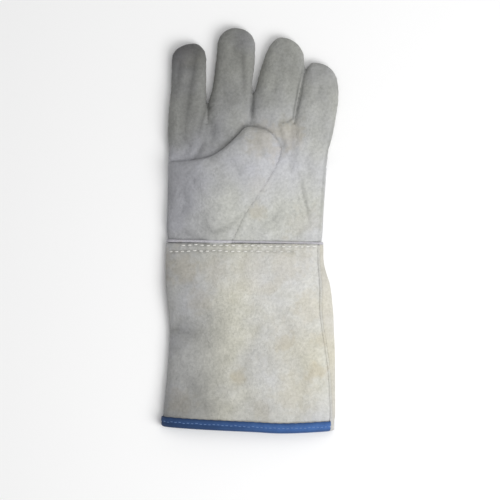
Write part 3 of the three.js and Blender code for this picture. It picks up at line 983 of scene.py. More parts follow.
def suede_nap_group() -> bpy.types.NodeTree:
    """The nap of split leather, shared by all leathers: mottling, tinted patches, fibres and soft lumps.

    Returns:
        The node group, built once.
    """
    known = bpy.data.node_groups.get("suede_nap")
    if known:
        return known
    group = bpy.data.node_groups.new("suede_nap", "ShaderNodeTree")
    group.interface.new_socket("Place", in_out="INPUT", socket_type="NodeSocketVector")
    tree = Tree(group)
    place = tree.add("NodeGroupInput").outputs["Place"]
    layers = {
        name: tree.spread(tree.noise(place, scale, detail), low, high)
        for name, (scale, detail, low, high) in NAP_LAYERS.items()
    }
    for name in NAP_OUTPUTS:
        group.interface.new_socket(name, in_out="OUTPUT", socket_type="NodeSocketFloat")
    out = tree.add("NodeGroupOutput")
    for name, shares in NAP_OUTPUTS.items():
        parts = [tree.maths("MULTIPLY", layers[layer], share) for layer, share in shares.items()]
        total = parts[0]
        for part in parts[1:]:
            total = tree.maths("ADD", total, part)
        tree.link(total, out.inputs[name])
    return group


FINISHES: dict[Finish, LeatherFinish | ThreadFinish | TapeFinish] = {
    Finish.PALM: LeatherFinish("suede_palm", (0.66, 0.665, 0.62), (0.42, 0.425, 0.395), (0.61, 0.615, 0.655)),
    Finish.CUFF: LeatherFinish("suede_cuff", (0.74, 0.725, 0.635), (0.47, 0.465, 0.40), (0.69, 0.695, 0.705)),
    Finish.STRAP: LeatherFinish(
        "grain_strap", (0.72, 0.725, 0.72), (0.50, 0.505, 0.50), (0.60, 0.61, 0.65), roughness=0.75, grain=0.3
    ),
    Finish.WELT: LeatherFinish("grey_welt", (0.60, 0.59, 0.62), (0.46, 0.45, 0.485), (0.53, 0.52, 0.56)),
    Finish.PALE_WELT: LeatherFinish("pale_welt", (0.68, 0.66, 0.58), (0.46, 0.45, 0.38), (0.58, 0.58, 0.58)),
    Finish.TAPE: TapeFinish("blue_tape", (0.078, 0.182, 0.45), (0.026, 0.072, 0.21)),
    Finish.THREAD: ThreadFinish("white_thread", (0.86, 0.85, 0.81)),
    Finish.TAPE_THREAD: ThreadFinish("pale_blue_thread", (0.17, 0.29, 0.54)),
}


@cache
def material_of(finish: Finish) -> bpy.types.Material:
    """The material of a finish, built once."""
    return FINISHES[finish].material()


@dataclass(frozen=True)
class WearAndShade:
    """Tone, stains and cool tint of the pieces by place: the leather's own mottling and darker fingertips, with
    painted shade in creases, gaps, seams and stitch dents, along the thumb's rim and towards the left, away from the
    key light.
    """

    thumb_tone: float = 0.85
    cuff_tone: float = 0.98
    # Painted shade along the gap under the thumb's upper rim, on the thumb.
    crown: Ramp = Ramp(-50.0, 25.0)
    thumb_crown: tuple[float, float] = (0.4, 1.0)
    thumb_rim: Dent = Dent(0.08, 1.0)
    over_hand: Ramp = Ramp(-50.0, 130.0)
    finger_dark: tuple[float, float] = (0.57, 0.20)
    finger_start: tuple[float, float] = (36.0, 48.0)
    finger_run: tuple[float, float] = (60.0, 76.0)
    run_change: Ramp = Ramp(-40.0, 40.0)
    # Painted shade along the same gap on the palm, fading towards the right, and a dark line along the thumb's lower
    # seam.
    palm_crown: tuple[float, float] = (0.45, 1.0)
    crown_dark: tuple[float, float] = (0.24, 0.06)
    crown_fade: Ramp = Ramp(-15.0, 25.0)
    upper_edge: Dent = Dent(1.0, 1.2)
    lower_edge: Dent = Dent(0.14, 1.5)
    shade_line_ends: tuple[float, float] = (0.1, 0.9)
    mottle: tuple[Slack, ...] = (Slack(0.05, 26.0, 3), Slack(0.04, 9.0, 4))
    side_seam: Dent = Dent(0.12, 1.5)
    seam_from: float = -8.0
    # Painted shade in the bottoms of the folds.
    fold_shade: float = 0.25
    # Painted shade along the stitch rows, in their dents.
    stitch_line: Dent = Dent(0.20, 1.3)
    stain_edge: tuple[Slack, ...] = (Slack(0.45, 3.0, 7), Slack(0.35, 9.0, 8))
    stain_reach: float = 1.3
    stain_share: float = 0.75
    rolled_stain: float = 0.22
    cool_share: float = 0.75
    cool_side: Ramp = Ramp(-12.0, -50.0)
    cool_fade: Ramp = Ramp(62.0, 30.0)
    cool_loss: float = 0.8
    tone_range: tuple[float, float] = (0.2, 1.3)

    def thumb(self, x: Points, y: Points) -> Points:
        """Tone of the thumb at each place, with painted shade towards the left and along its upper rim."""
        tone = self.thumb_tone + sum(shade.at(x, y) for shade in THUMB_SHADES)
        # Painted shade along the upper rim.
        return tone - mix(*self.thumb_crown, self.crown.at(x)) * self.thumb_rim.at(along_line(x, y, thumb_edge())[0])

    def hand(self, x: Points, y: Points, seen: Points) -> Points:
        """Tone of the palm, the fingers and the strips of the back, with painted shade along the thumb's rim and in
        creases and gaps.

        Args:
            x: Places' x.
            y: Places' y.
            seen: Whether each place is on the palm side.

        Returns:
            The tone at each place.
        """
        over = self.over_hand.at(x)
        run = mix(*self.finger_run, self.run_change.at(x))
        tone = 1.0 - mix(*self.finger_dark, over) * smooth((y - mix(*self.finger_start, over)) / run)
        tone += sum(shade.at(x, y) for shade in HAND_SHADES)
        # Painted shade along the gap under the thumb's upper rim, and a dark line along its lower seam.
        painted_shading = mix(*self.palm_crown, self.crown.at(x)) * mix(*self.crown_dark, self.crown_fade.at(x))
        tone -= painted_shading * self.upper_edge.at(along_line(x, y, thumb_edge())[0]) * seen
        tone -= self.lower_edge.at(along_line(x, y, thumb_edge(LOWER_X))[0]) * seen
        # Painted shade along creases, finger gaps and the right side seam.
        for line, width, amount in SHADE_LINES:
            away, along = along_line(x, y, line)
            tone -= amount * np.sin(np.pi * mix(*self.shade_line_ends, along)) * bell(away, width) * seen
        return tone

    def stain(self, points: Points) -> Points:
        """Share of stain.

        Args:
            points: Places, in millimetres.

        Returns:
            The share at each place.
        """
        edge = sum(slack.at(points) for slack in self.stain_edge)
        stain = np.zeros(len(points))
        for x, y, size, share in STAINS:
            away = np.hypot(points[:, 0] - x, points[:, 1] - y) / size
            stain = np.maximum(stain, self.stain_share * share * smooth(self.stain_reach - away + edge))
        return stain

    def paint_of(self, points: Points, node: str, folds: Sequence[Fold]) -> dict[str, Points]:
        """All that is painted on a piece.

        Args:
            points: Places, in millimetres.
            node: Name of the piece's solid.
            folds: The folds whose bottoms get painted shade.

        Returns:
            For each place, the tone that multiplies the colour, painted shade included, and the shares of stain and
            of cool tint.
        """
        x, y, z = points.T
        seen = z > SEAM_Z
        if node == "thumb_leather":
            tone = self.thumb(x, y)
        elif node.startswith("cuff"):
            tone = self.cuff_tone + sum(shade.at(x, y) for shade in CUFF_SHADES)
        else:
            tone = self.hand(x, y, seen)
        for at_x, at_y, wide, tall, amount in PATCHES.get(node.split("_")[0], ()):
            tone += amount * bell(x - at_x, wide) * bell(y - at_y, tall) * seen
        tone += sum(slack.at(points) for slack in self.mottle)
        tone -= self.side_seam.at(z - SEAM_Z) * (y > self.seam_from)
        # Painted shade in the bottoms of the folds.
        tone -= self.fold_shade * sum(fold.crease_shade(x, y) for fold in folds) * seen
        # Painted shade along the stitch rows, in their dents.
        for rows, shown in ((WRIST_ROWS, seen), ((*BACK_WRIST_ROWS, *STRAP_ROWS), ~seen)):
            for row in rows:
                tone -= self.stitch_line.at(along_line(x, y, row)[0]) * shown
        stain = self.stain(points)
        if node == "cuff_back_panel":
            stain = np.maximum(stain, self.rolled_stain * seen)
        cool = self.cool_share * self.cool_side.at(x) * (1.0 - self.cool_loss * self.cool_fade.at(y))
        return {"tone": np.clip(tone, *self.tone_range), "stain": np.clip(stain, 0.0, 1.0), "cool": cool}


# Broad changes of tone. The thumb and the cuff are painted darker towards the left, the side away from the key light:
# painted shade. The cuff is also lighter on its right below the wrist and darker towards the hem, and the hand is
# darker towards its right and at the tips of the left fingers.
THUMB_SHADES = (Shade(-0.16, Ramp(-18.0, -50.0)),)
CUFF_SHADES = (
    Shade(-0.26, Ramp(-4.0, -45.0)),
    Shade(0.12, Ramp(0.0, 50.0), Ramp(-25.0, -45.0)),
    Shade(-0.12, over_y=Ramp(-40.0, -100.0)),
    Shade(-0.06, over_y=Ramp(-140.0, -14.0)),
)
HAND_SHADES = (
    Shade(-0.06, Ramp(30.0, 25.0)),
    Shade(-0.11, Ramp(54.0, 14.0), Ramp(56.0, 14.0)),
    Shade(-0.16, Ramp(-20.0, -25.0), Ramp(132.0, 30.0)),
)

# Lighter and darker patches of the pieces, partly their own tone and partly painted light and shade: x, y, width,
# height, change of tone.
PATCHES = {
    "palm": (
        (-5.0, 158.0, 8.0, 22.0, -0.15), (33.0, 148.0, 18.0, 26.0, -0.20), (40.0, 120.0, 8.0, 14.0, -0.07),
        (-53.0, 134.0, 14.0, 22.0, -0.08), (-14.0, 98.0, 24.0, 12.0, 0.10), (8.0, 97.0, 10.0, 8.0, 0.07),
        (-69.0, 108.0, 5.0, 10.0, 0.08), (-60.0, 76.0, 12.0, 8.0, -0.09), (-25.0, 124.0, 6.0, 14.0, 0.06),
    ),
    "thumb": ((-36.0, 42.0, 22.0, 16.0, -0.05), (-24.0, 65.0, 14.0, 9.0, 0.06)),
    "cuff": (
        (-54.0, -86.0, 14.0, 13.0, -0.12), (64.0, -50.0, 8.0, 30.0, -0.06), (-66.0, -44.0, 14.0, 20.0, -0.05),
        (-71.0, -88.0, 6.0, 14.0, 0.13), (-33.0, -55.0, 10.0, 20.0, 0.06),
    ),
}

# Stains: x, y, size, share.
STAINS = (
    (-10.0, -127.7, 8.0, 0.42), (57.6, -122.4, 11.0, 0.48), (30.3, -97.8, 10.0, 0.40), (15.4, -49.4, 9.0, 0.26),
    (-60.0, -32.0, 17.0, 0.34), (-44.0, -60.0, 12.0, 0.22), (50.0, -66.0, 16.0, 0.26), (-60.0, -150.0, 13.0, 0.26),
    (12.0, -160.0, 12.0, 0.20), (40.0, -140.0, 22.0, 0.22), (3.0, -40.0, 24.0, 0.16), (-30.0, -36.0, 14.0, 0.20),
    (5.6, 16.7, 8.0, 0.30), (13.0, 80.0, 18.0, 0.32), (33.0, 86.0, 15.0, 0.36), (46.0, -100.0, 34.0, 0.14),
    (34.0, -30.0, 22.0, 0.24), (62.0, -95.0, 12.0, 0.30), (48.0, 8.0, 14.0, 0.14), (10.0, 40.0, 12.0, 0.10),
    (38.0, 92.0, 10.0, 0.16), (-52.0, 154.0, 12.0, 0.14),
)


def dress(
    piece: bpy.types.Object, finish: Finish, node: str, shared: bool = False, folds: Sequence[Fold] = ()
) -> None:
    """Finish a piece: its material, its body and the solid that it stands for.

    Args:
        piece: The piece.
        finish: Its finish.
        node: The solid that it replaces, or that it goes with.
        shared: Whether that solid stays shown, as for a stitch row.
        folds: Its folds, whose bottoms get painted shade.
    """
    piece.data.materials.clear()
    piece.data.materials.append(material_of(finish))
    piece.data.polygons.foreach_set("material_index", [0] * len(piece.data.polygons))
    shade_smooth(piece)
    if isinstance(FINISHES[finish], LeatherFinish):
        for name, values in WearAndShade().paint_of(mesh_points(piece), node, folds).items():
            paint(piece, name, values)
    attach(piece, "root")
    if not shared:
        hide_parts(node)
    LOG.info("%s: %d faces", piece.name, len(piece.data.polygons))


def bisect(form: bmesh.types.BMesh, place: Iterable[float], normal: Iterable[float], **sides: bool) -> None:
    """Cut a form at a plane.

    Args:
        form: The form.
        place: A place in the plane.
        normal: The plane's normal.
        **sides: clear_inner or clear_outer, where a side is dropped.
    """
    parts = [*form.verts, *form.edges, *form.faces]
    bmesh.ops.bisect_plane(form, geom=parts, dist=CUT_REACH, plane_co=place, plane_no=normal, **sides)


@dataclass(frozen=True)
class Finger:
    """A finger: its tip, how far its end is rounded and leans, and its rows of y, left edge, right edge, top."""

    tip: float
    rounded: float
    lean: float
    rows: Rows


FINGERS = {
    "index": Finger(164.2, 14.5, 4.5, (
        (98, -71.5, -36.0, 14.4), (108, -70.8, -36.8, 14.2), (114, -70.1, -38.1, 14.0),
        (124, -69.1, -38.2, 14.0), (145, -68.4, -38.1, 13.4), (165, -68.4, -38.1, 12.8),
    )),
    "middle": Finger(178.0, 15.8, 0.0, (
        (98, -37.8, 1.4, 14.6), (108, -37.3, 2.6, 14.6), (116, -35.0, 2.4, 14.6),
        (124, -33.0, 2.0, 14.4), (131, -31.9, 2.5, 14.2), (145, -30.1, 4.1, 14.0),
        (160, -28.6, 4.7, 13.4), (178, -28.3, 4.9, 12.8),
    )),
    "ring": Finger(169.4, 18.4, -4.5, (
        (98, -0.2, 40.2, 14.6), (108, 1.2, 41.6, 14.8), (116, 2.2, 43.2, 14.8),
        (124, 4.8, 45.0, 14.6), (131, 6.8, 46.6, 14.4), (141, 9.2, 48.0, 14.0),
        (152, 12.9, 47.5, 13.4), (170, 17.2, 47.4, 12.6),
    )),
    "little": Finger(147.5, 18.0, -7.0, (
        (98, 38.6, 75.3, 14.2), (108, 39.8, 76.9, 14.4), (116, 41.4, 77.7, 14.4),
        (124, 43.2, 77.7, 14.2), (131, 44.8, 77.1, 13.6), (139, 47.2, 77.0, 13.0),
        (149, 49.0, 77.0, 12.4),
    )),
}


@dataclass
class Hand:
    """The hand: a panel over the palm and the fingers' fronts, and a strip up the back of each finger."""

    voxel: float = 0.9
    ring_points: int = 72
    merge_from: float = 56.0
    merge_to: float = 93.0
    inset: float = 2.6
    rise: float = 0.7
    drop: float = 0.35
    fingers: dict[str, Finger] = field(default_factory=lambda: dict(FINGERS))
    step: float = 1.5
    first_ring: float = -26.0
    tip_rings: int = 16
    even_share: float = 0.5
    even_rounds: int = 5
    finger_flat: float = 0.58
    finger_merge: float = 8.0
    taper: float = 0.8
    least: float = 0.04
    full: float = 0.25
    slack: Slack = Slack(0.6, 14.0, 11)
    fine_slack: Slack = Slack(0.26, 5.5, 12)
    side_slack: float = 0.3
    seam: Dent = Dent(1.0, 1.3)
    seam_sink: tuple[float, float] = (0.15, 0.50)
    pucker: Pucker = Pucker(6.0, Slack(2.0, 17.0, 13))
    pucker_slant: float = 0.35
    strip_seam: Dent = Dent(0.8, 1.3)
    strip_seam_end: float = 150.0
    resting: float = 1.2
    pressed: float = 0.9

    def mirrored(self, x: Points, y: float, height: Points) -> Points:
        """Close a section's one side with its mirror image at the seam.

        Args:
            x: The side's x.
            y: The section's y.
            height: The side's height over the seam, below 0 under it.

        Returns:
            The closed section.
        """
        level = np.full_like(x, y)
        near = np.stack([x, level, SEAM_Z + height], axis=1)
        far = np.stack([x, level, SEAM_Z - height], axis=1)[::-1]
        return np.concatenate([near, far])

    def palm_ring(self, y: float, front: bool) -> Points:
        """Section of the palm at y, true on the front or on the back of the seam and mirrored past it.

        Args:
            y: Where the section is.
            front: Whether the front is the true side.

        Returns:
            The closed section.
        """
        sunk = float(smooth((y - self.merge_from) / (self.merge_to - self.merge_from)))
        middle, half = middle_and_half(HAND, y)
        half -= self.inset * sunk
        height = (float(HAND.at(TOP, y)) - SEAM_Z) * (1.0 - self.drop * sunk)
        u = across(self.ring_points)
        x = middle + half * u
        if front:
            return self.mirrored(x, y, height * arch(u, PALM_FULL))
        lift = back_lift(x, y)
        floor = underside(u, PALM_FLAT, lift + self.rise * sunk)
        return self.mirrored(middle + (half - lift) * u, y, floor - SEAM_Z)

    def finger_edge(self, rows: Rows, column: int, y: float) -> float:
        """One edge of a finger. Inside the palm it keeps its share of the palm's width.

        Args:
            rows: The finger's rows.
            column: The edge's column.
            y: Where the edge is wanted.

        Returns:
            The edge's x.
        """
        first = rows[0]
        if y >= first[0]:
            return float(Profile(rows).at(column, y))
        low, high = float(HAND.at(LEFT, first[0])), float(HAND.at(RIGHT, first[0]))
        share = (first[column] - low) / (high - low)
        return mix(float(HAND.at(LEFT, y)), float(HAND.at(RIGHT, y)), share)

    def finger_ring(self, name: str, y: float, front: bool) -> Points:
        """Section of a finger at y, true on the front or on the back of the seam and mirrored past it.

        Args:
            name: Name of the finger.
            y: Where the section is.
            front: Whether the front is the true side.

        Returns:
            The closed section.
        """
        finger = self.fingers[name]
        along = min(1.0, max(0.0, (y - (finger.tip - finger.rounded)) / finger.rounded))
        share = max(self.least, math.sqrt(1.0 - along**2))
        left, right = (self.finger_edge(finger.rows, column, y) for column in (LEFT, RIGHT))
        merging = self.merge_to - self.finger_merge - self.merge_from
        buried = 1.0 - float(smooth((y - self.merge_from) / merging))
        middle = (left + right) / 2.0 + finger.lean * (1.0 - share)
        half = ((right - left) / 2.0 - self.inset * buried) * share
        top = float(Profile(finger.rows).at(TOP, y))
        height = (top - SEAM_Z) * (1.0 - self.drop * buried) * share**self.taper
        u = across(self.ring_points // 2)
        x = middle + half * u
        if front:
            return self.mirrored(x, y, height * arch(u, FINGER_FULL))
        lift = back_lift(x, y)
        flat = underside(u, self.finger_flat, lift + self.rise * buried)
        floor = mix(SEAM_Z - SEAM_SIDE, flat, share**self.taper)
        return self.mirrored(middle + (half - lift * share) * u, y, floor - SEAM_Z)

    def fused(self, front: bool) -> tuple[Points, list[tuple[int, ...]]]:
        """The palm and the fingers as one smooth closed skin.

        Args:
            front: Whether the front is the true side.

        Returns:
            The skin's points and faces.
        """
        forms = [[self.palm_ring(y, front) for y in np.arange(self.first_ring, self.merge_to, self.step)]]
        for name, finger in self.fingers.items():
            rounding = finger.tip - finger.rounded
            straight = np.arange(self.merge_from, rounding, self.step)
            ending = rounding + finger.rounded * np.sin(np.linspace(0.0, math.pi / 2.0, self.tip_rings))
            forms.append([self.finger_ring(name, y, front) for y in (*straight, *ending)])
        points, faces = [], []
        for rings in forms:
            start = sum(len(block) for block in points)
            size = len(rings[0])
            block = np.concatenate(rings)
            ends = [rings[0].mean(axis=0), rings[-1].mean(axis=0)]
            faces += [tuple(start + i for i in face) for face in grid_faces(len(rings), size, closed=True)]
            last = start + (len(rings) - 1) * size
            low, high = start + len(block), start + len(block) + 1
            for j in range(size):
                k = (j + 1) % size
                faces += [(start + k, start + j, low), (last + j, last + k, high)]
            points.append(np.concatenate([block, ends]))
        raw = make_mesh("hand_form", np.concatenate(points), faces, placed=False)
        remesh = raw.modifiers.new("fuse", "REMESH")
        remesh.mode = "VOXEL"
        remesh.voxel_size = self.voxel
        even = raw.modifiers.new("even", "SMOOTH")
        even.factor = self.even_share
        even.iterations = self.even_rounds
        plain_mesh(raw)
        flat = np.empty(len(raw.data.vertices) * 3)
        raw.data.vertices.foreach_get("co", flat)
        fused_faces = [tuple(face.vertices) for face in raw.data.polygons]
        bpy.data.objects.remove(raw)
        return flat.reshape(-1, 3), fused_faces

    def relief(self, points: Points) -> Points:
        """Height of folds, puckers and slack at each place of the hand.

        Args:
            points: Places on the hand.

        Returns:
            The height at each place.
        """
        x, y, z = points.T
        top = smooth((z - SEAM_Z) / SEAM_BLEND)
        height = self.full + sum(fold.height(x, y) for fold in PALM_FOLDS) * top
        height += self.slack.at(points) * np.maximum(top, self.side_slack)
        height += self.fine_slack.at(points)
        puckers = 0.5 + 0.5 * self.pucker.at(x * self.pucker_slant + y, points)
        height -= self.seam.at(z - SEAM_Z) * mix(*self.seam_sink, puckers)
        for line in STRIPS:
            height -= (z < SEAM_Z) * self.strip_seam.at(x - line.at(ALONG, y)) * (y < self.strip_seam_end)
        rests = smooth((self.resting - z + back_lift(x, y)) / self.resting)
        return height * (1.0 - self.pressed * rests * (height > 0))

    def cut(self, form: bmesh.types.BMesh, line: Callable[[float], float], remove: int = 0) -> None:
        """Cut a form along a line x = line(y), seen from above.

        Args:
            form: The form.
            line: The line's x for each y.
            remove: -1 to drop the side at lower x, 1 the side at higher x, 0 for neither.
        """
        for vertex in form.verts:
            vertex.co.x -= line(vertex.co.y)
        bisect(form, (0, 0, 0), (1, 0, 0), clear_inner=remove < 0, clear_outer=remove > 0)
        for vertex in form.verts:
            vertex.co.x += line(vertex.co.y)

    def half(self, points: Points, faces: list[tuple[int, ...]], front: bool) -> bmesh.types.BMesh:
        """One side of the hand, parted at the side seam and open at the wrist.

        Args:
            points: Points of the whole skin.
            faces: Its faces.
            front: Whether the front is wanted.

        Returns:
            The open form of that side.
        """
        form = bmesh.new()
        vertices = [form.verts.new(point) for point in points]
        for face in faces:
            form.faces.new([vertices[i] for i in face])
        height = SEAM_Z + (GAP / 2.0 if front else -GAP / 2.0)
        for co, normal in (((0, 0, height), (0, 0, 1 if front else -1)), ((0, HAND_END, 0), (0, 1, 0))):
            bisect(form, co, normal, clear_inner=True)
        return form

    def piece(self, name: str, form: bmesh.types.BMesh) -> bpy.types.Object:
        """Turn a cut form into a placed object with a wall.

        Args:
            name: Name of the object.
            form: The cut form.

        Returns:
            The object.
        """
        mesh = bpy.data.meshes.new(name)
        for vertex in form.verts:
            vertex.co = (vertex.co + Vector(SHIFT)) / MM
        bmesh.ops.recalc_face_normals(form, faces=form.faces)
        form.to_mesh(mesh)
        form.free()
        return thicken(linked(name, mesh))

    def build(self) -> list[bpy.types.Object]:
        """Build and dress all pieces of the hand.

        Returns:
            The pieces.
        """
        points, faces = self.fused(front=True)
        points = move_along_normals(points, faces, self.relief(points))
        front = self.half(points, faces, True)
        self.open_root(front)
        palm = self.piece("palm_leather_fine", front)
        dress(palm, Finish.PALM, "palm_leather", folds=PALM_FOLDS)
        pieces = [palm]
        points, faces = self.fused(front=False)
        points = move_along_normals(points, faces, self.relief(points))
        for i, name in enumerate(self.fingers):
            strip = self.half(points, faces, False)
            for line, side in ((i - 1, -1), (i, 1)):
                if 0 <= line < len(STRIPS):
                    edge = STRIPS[line]
                    self.cut(strip, lambda y, edge=edge, side=side: float(edge.at(ALONG, y)) - side * GAP / 2.0, side)
            back = self.piece(f"{name}_back_fine", strip)
            dress(back, Finish.PALM, f"{name}_back")
            pieces.append(back)
        return pieces

    def open_root(self, form: bmesh.types.BMesh) -> None:
        """Open the palm side under the thumb's root.

        Args:
            form: The palm side's form.
        """
        corner = np.array([THUMB.at(column, ROOT - 1.0) for column in (LOWER_X, LOWER_Y)])
        upper = np.array([THUMB.at(column, ROOT) for column in (UPPER_X, UPPER_Y)])
        lower = np.array([THUMB.at(column, ROOT) for column in (LOWER_X, LOWER_Y)])
        lines = ((upper, lower), (lower, corner))
        sides = []
        for a, b in lines:
            along = (b - a) / np.linalg.norm(b - a)
            normal = Vector((-along[1], along[0], 0.0))
            bisect(form, (*a, 0.0), normal)
            sides.append((Vector((*a, 0.0)), normal))
        inside = [
            face for face in form.faces
            if all((face.calc_center_median() - a).to_2d().dot(normal.to_2d()) < -GAP for a, normal in sides)
        ]
        bmesh.ops.delete(form, geom=inside, context="FACES")


@dataclass
class Thumb:
    """The thumb: its root continues the palm side, and its free part lies folded over the palm."""

    rows: int = 200
    upper_points: int = 72
    lower_points: int = 36
    sewn: float = 0.4
    turn: float = 0.02
    calm: float = 0.04
    fade: float = 0.5
    flat_under: float = 6.0
    fold_fade: float = 0.2
    slack: tuple[Slack, ...] = (Slack(0.5, 13.0, 21), Slack(0.22, 5.0, 22))
    seam_across: Ramp = Ramp(0.72, 0.28)
    seam_along: Ramp = Ramp(3.8, 1.0)
    pucker: Pucker = Pucker(6.4, Slack(1.6, 15.0, 23))
    pucker_height: float = 0.40
    pucker_sink: float = 0.25
    pucker_centre: tuple[float, float] = (-20.0, -20.0)
    thin: float = 0.8
    past_root: float = 0.1

    def place(self, s: Points, u: Points) -> tuple[Points, Points]:
        """Places seen from above, at shares u from the upper edge, -1, to the seam, 1, of sections s."""
        pairs = ((UPPER_X, LOWER_X), (UPPER_Y, LOWER_Y))
        return tuple(mix(THUMB.at(upper, s), THUMB.at(lower, s), (u + 1.0) / 2.0) for upper, lower in pairs)

    def raised(self, s: Points, u: Points) -> Points:
        """How far the thumb's rim stands over the palm: down to it at the palm seam."""
        lift = THUMB.at(RIM_LIFT, s)
        return mix(lift, np.minimum(lift, 2.0 * GAP), smooth((u + self.sewn) / (1.0 + self.sewn)))

    def over(self, s: Points, u: Points) -> Points:
        """Top of the thumb.

        Args:
            s: Sections, counted along the thumb.
            u: Shares across.

        Returns:
            The places on it.
        """
        x, y = self.place(s, u)
        full = arch(u, FINGER_FULL)
        z = hand_top(x, y) + self.raised(s, u) + GAP + THUMB.at(FULLNESS, s) * full
        edge = np.exp(-(u + 1.0) / self.turn) * smooth((ROOT + self.fade - s) / self.fade)
        x, z = mix(x, HAND.at(LEFT, y), edge), mix(z, SEAM_Z - SEAM_SIDE / 2.0, edge)
        return np.stack([x, y, z], axis=-1)

    def under(self, s: Points, u: Points) -> Points:
        """Underside of the free thumb, which rests on the palm.

        Args:
            s: Sections, counted along the thumb.
            u: Shares across.

        Returns:
            The places on it.
        """
        x, y = self.place(s, u)
        raised = np.maximum(self.raised(s, u), 2.0 * GAP)
        z = hand_top(x, y) + raised - (raised - 2.0 * GAP) * arch(u, self.flat_under)
        return np.stack([x, y, z], axis=-1)

    def relief(self, points: Points, s: Points, u: Points) -> Points:
        """Folds, slack and the puckers along the thumb's seam.

        Args:
            points: Places on the thumb.
            s: Their sections.
            u: Their shares across.

        Returns:
            The height at each place.
        """
        x, y, _ = points.T
        folds = sum(fold.height(x, y) for fold in THUMB_FOLDS)
        height = folds * smooth((1.0 - np.abs(u)) / self.fold_fade)
        height += sum(slack.at(points) for slack in self.slack)
        centre_x, centre_y = self.pucker_centre
        pucker = self.pucker.at(np.hypot(x - centre_x, y - centre_y), points)
        edge = self.seam_across.at(u) * self.seam_along.at(s)
        height += edge * (self.pucker_height * pucker - self.pucker_sink)
        return height * smooth((u + 1.0) / self.calm)

    def build(self) -> list[bpy.types.Object]:
        """Build and dress the thumb.

        Returns:
            The thumb.
        """
        last = float(THUMB_ROWS[-1][0])
        s = np.linspace(0.0, last, self.rows)
        u = across(self.upper_points)
        grid_s, grid_u = np.meshgrid(s, u, indexing="ij")
        points = self.over(grid_s, grid_u).reshape(-1, 3)
        faces = facing(points, grid_faces(self.rows, self.upper_points))
        tall = self.relief(points, grid_s.ravel(), grid_u.ravel())
        points = move_along_normals(points, faces, tall)
        free = np.flatnonzero(s > ROOT + self.past_root)
        v = across(self.lower_points)[1:-1]
        low_s, low_v = np.meshgrid(s[free], v, indexing="ij")
        below = self.under(low_s, low_v).reshape(len(free), -1, 3)
        start = len(points)
        columns = self.lower_points - 2
        strips = [
            [row * self.upper_points, *range(begin, begin + columns), (row + 1) * self.upper_points - 1]
            for row, begin in zip(free, range(start, start + len(free) * columns, columns))
        ]
        for row, following in zip(strips, strips[1:]):
            faces += [(row[j], row[j + 1], following[j + 1], following[j]) for j in range(len(row) - 1)]
        tip = [free[-1] * self.upper_points + j for j in range(self.upper_points)]
        loop = tip + strips[-1][1:-1][::-1]
        points = np.concatenate([points, below.reshape(-1, 3), [points[tip].mean(axis=0)]])
        faces += [(loop[j], loop[(j + 1) % len(loop)], len(points) - 1) for j in range(len(loop))]
        piece = make_mesh("thumb_leather_fine", points, faces)
        turn_outwards(piece, skin=True)
        thicken(piece, LEATHER * self.thin)
        dress(piece, Finish.PALM, "thumb_leather", folds=THUMB_FOLDS)
        return [piece]


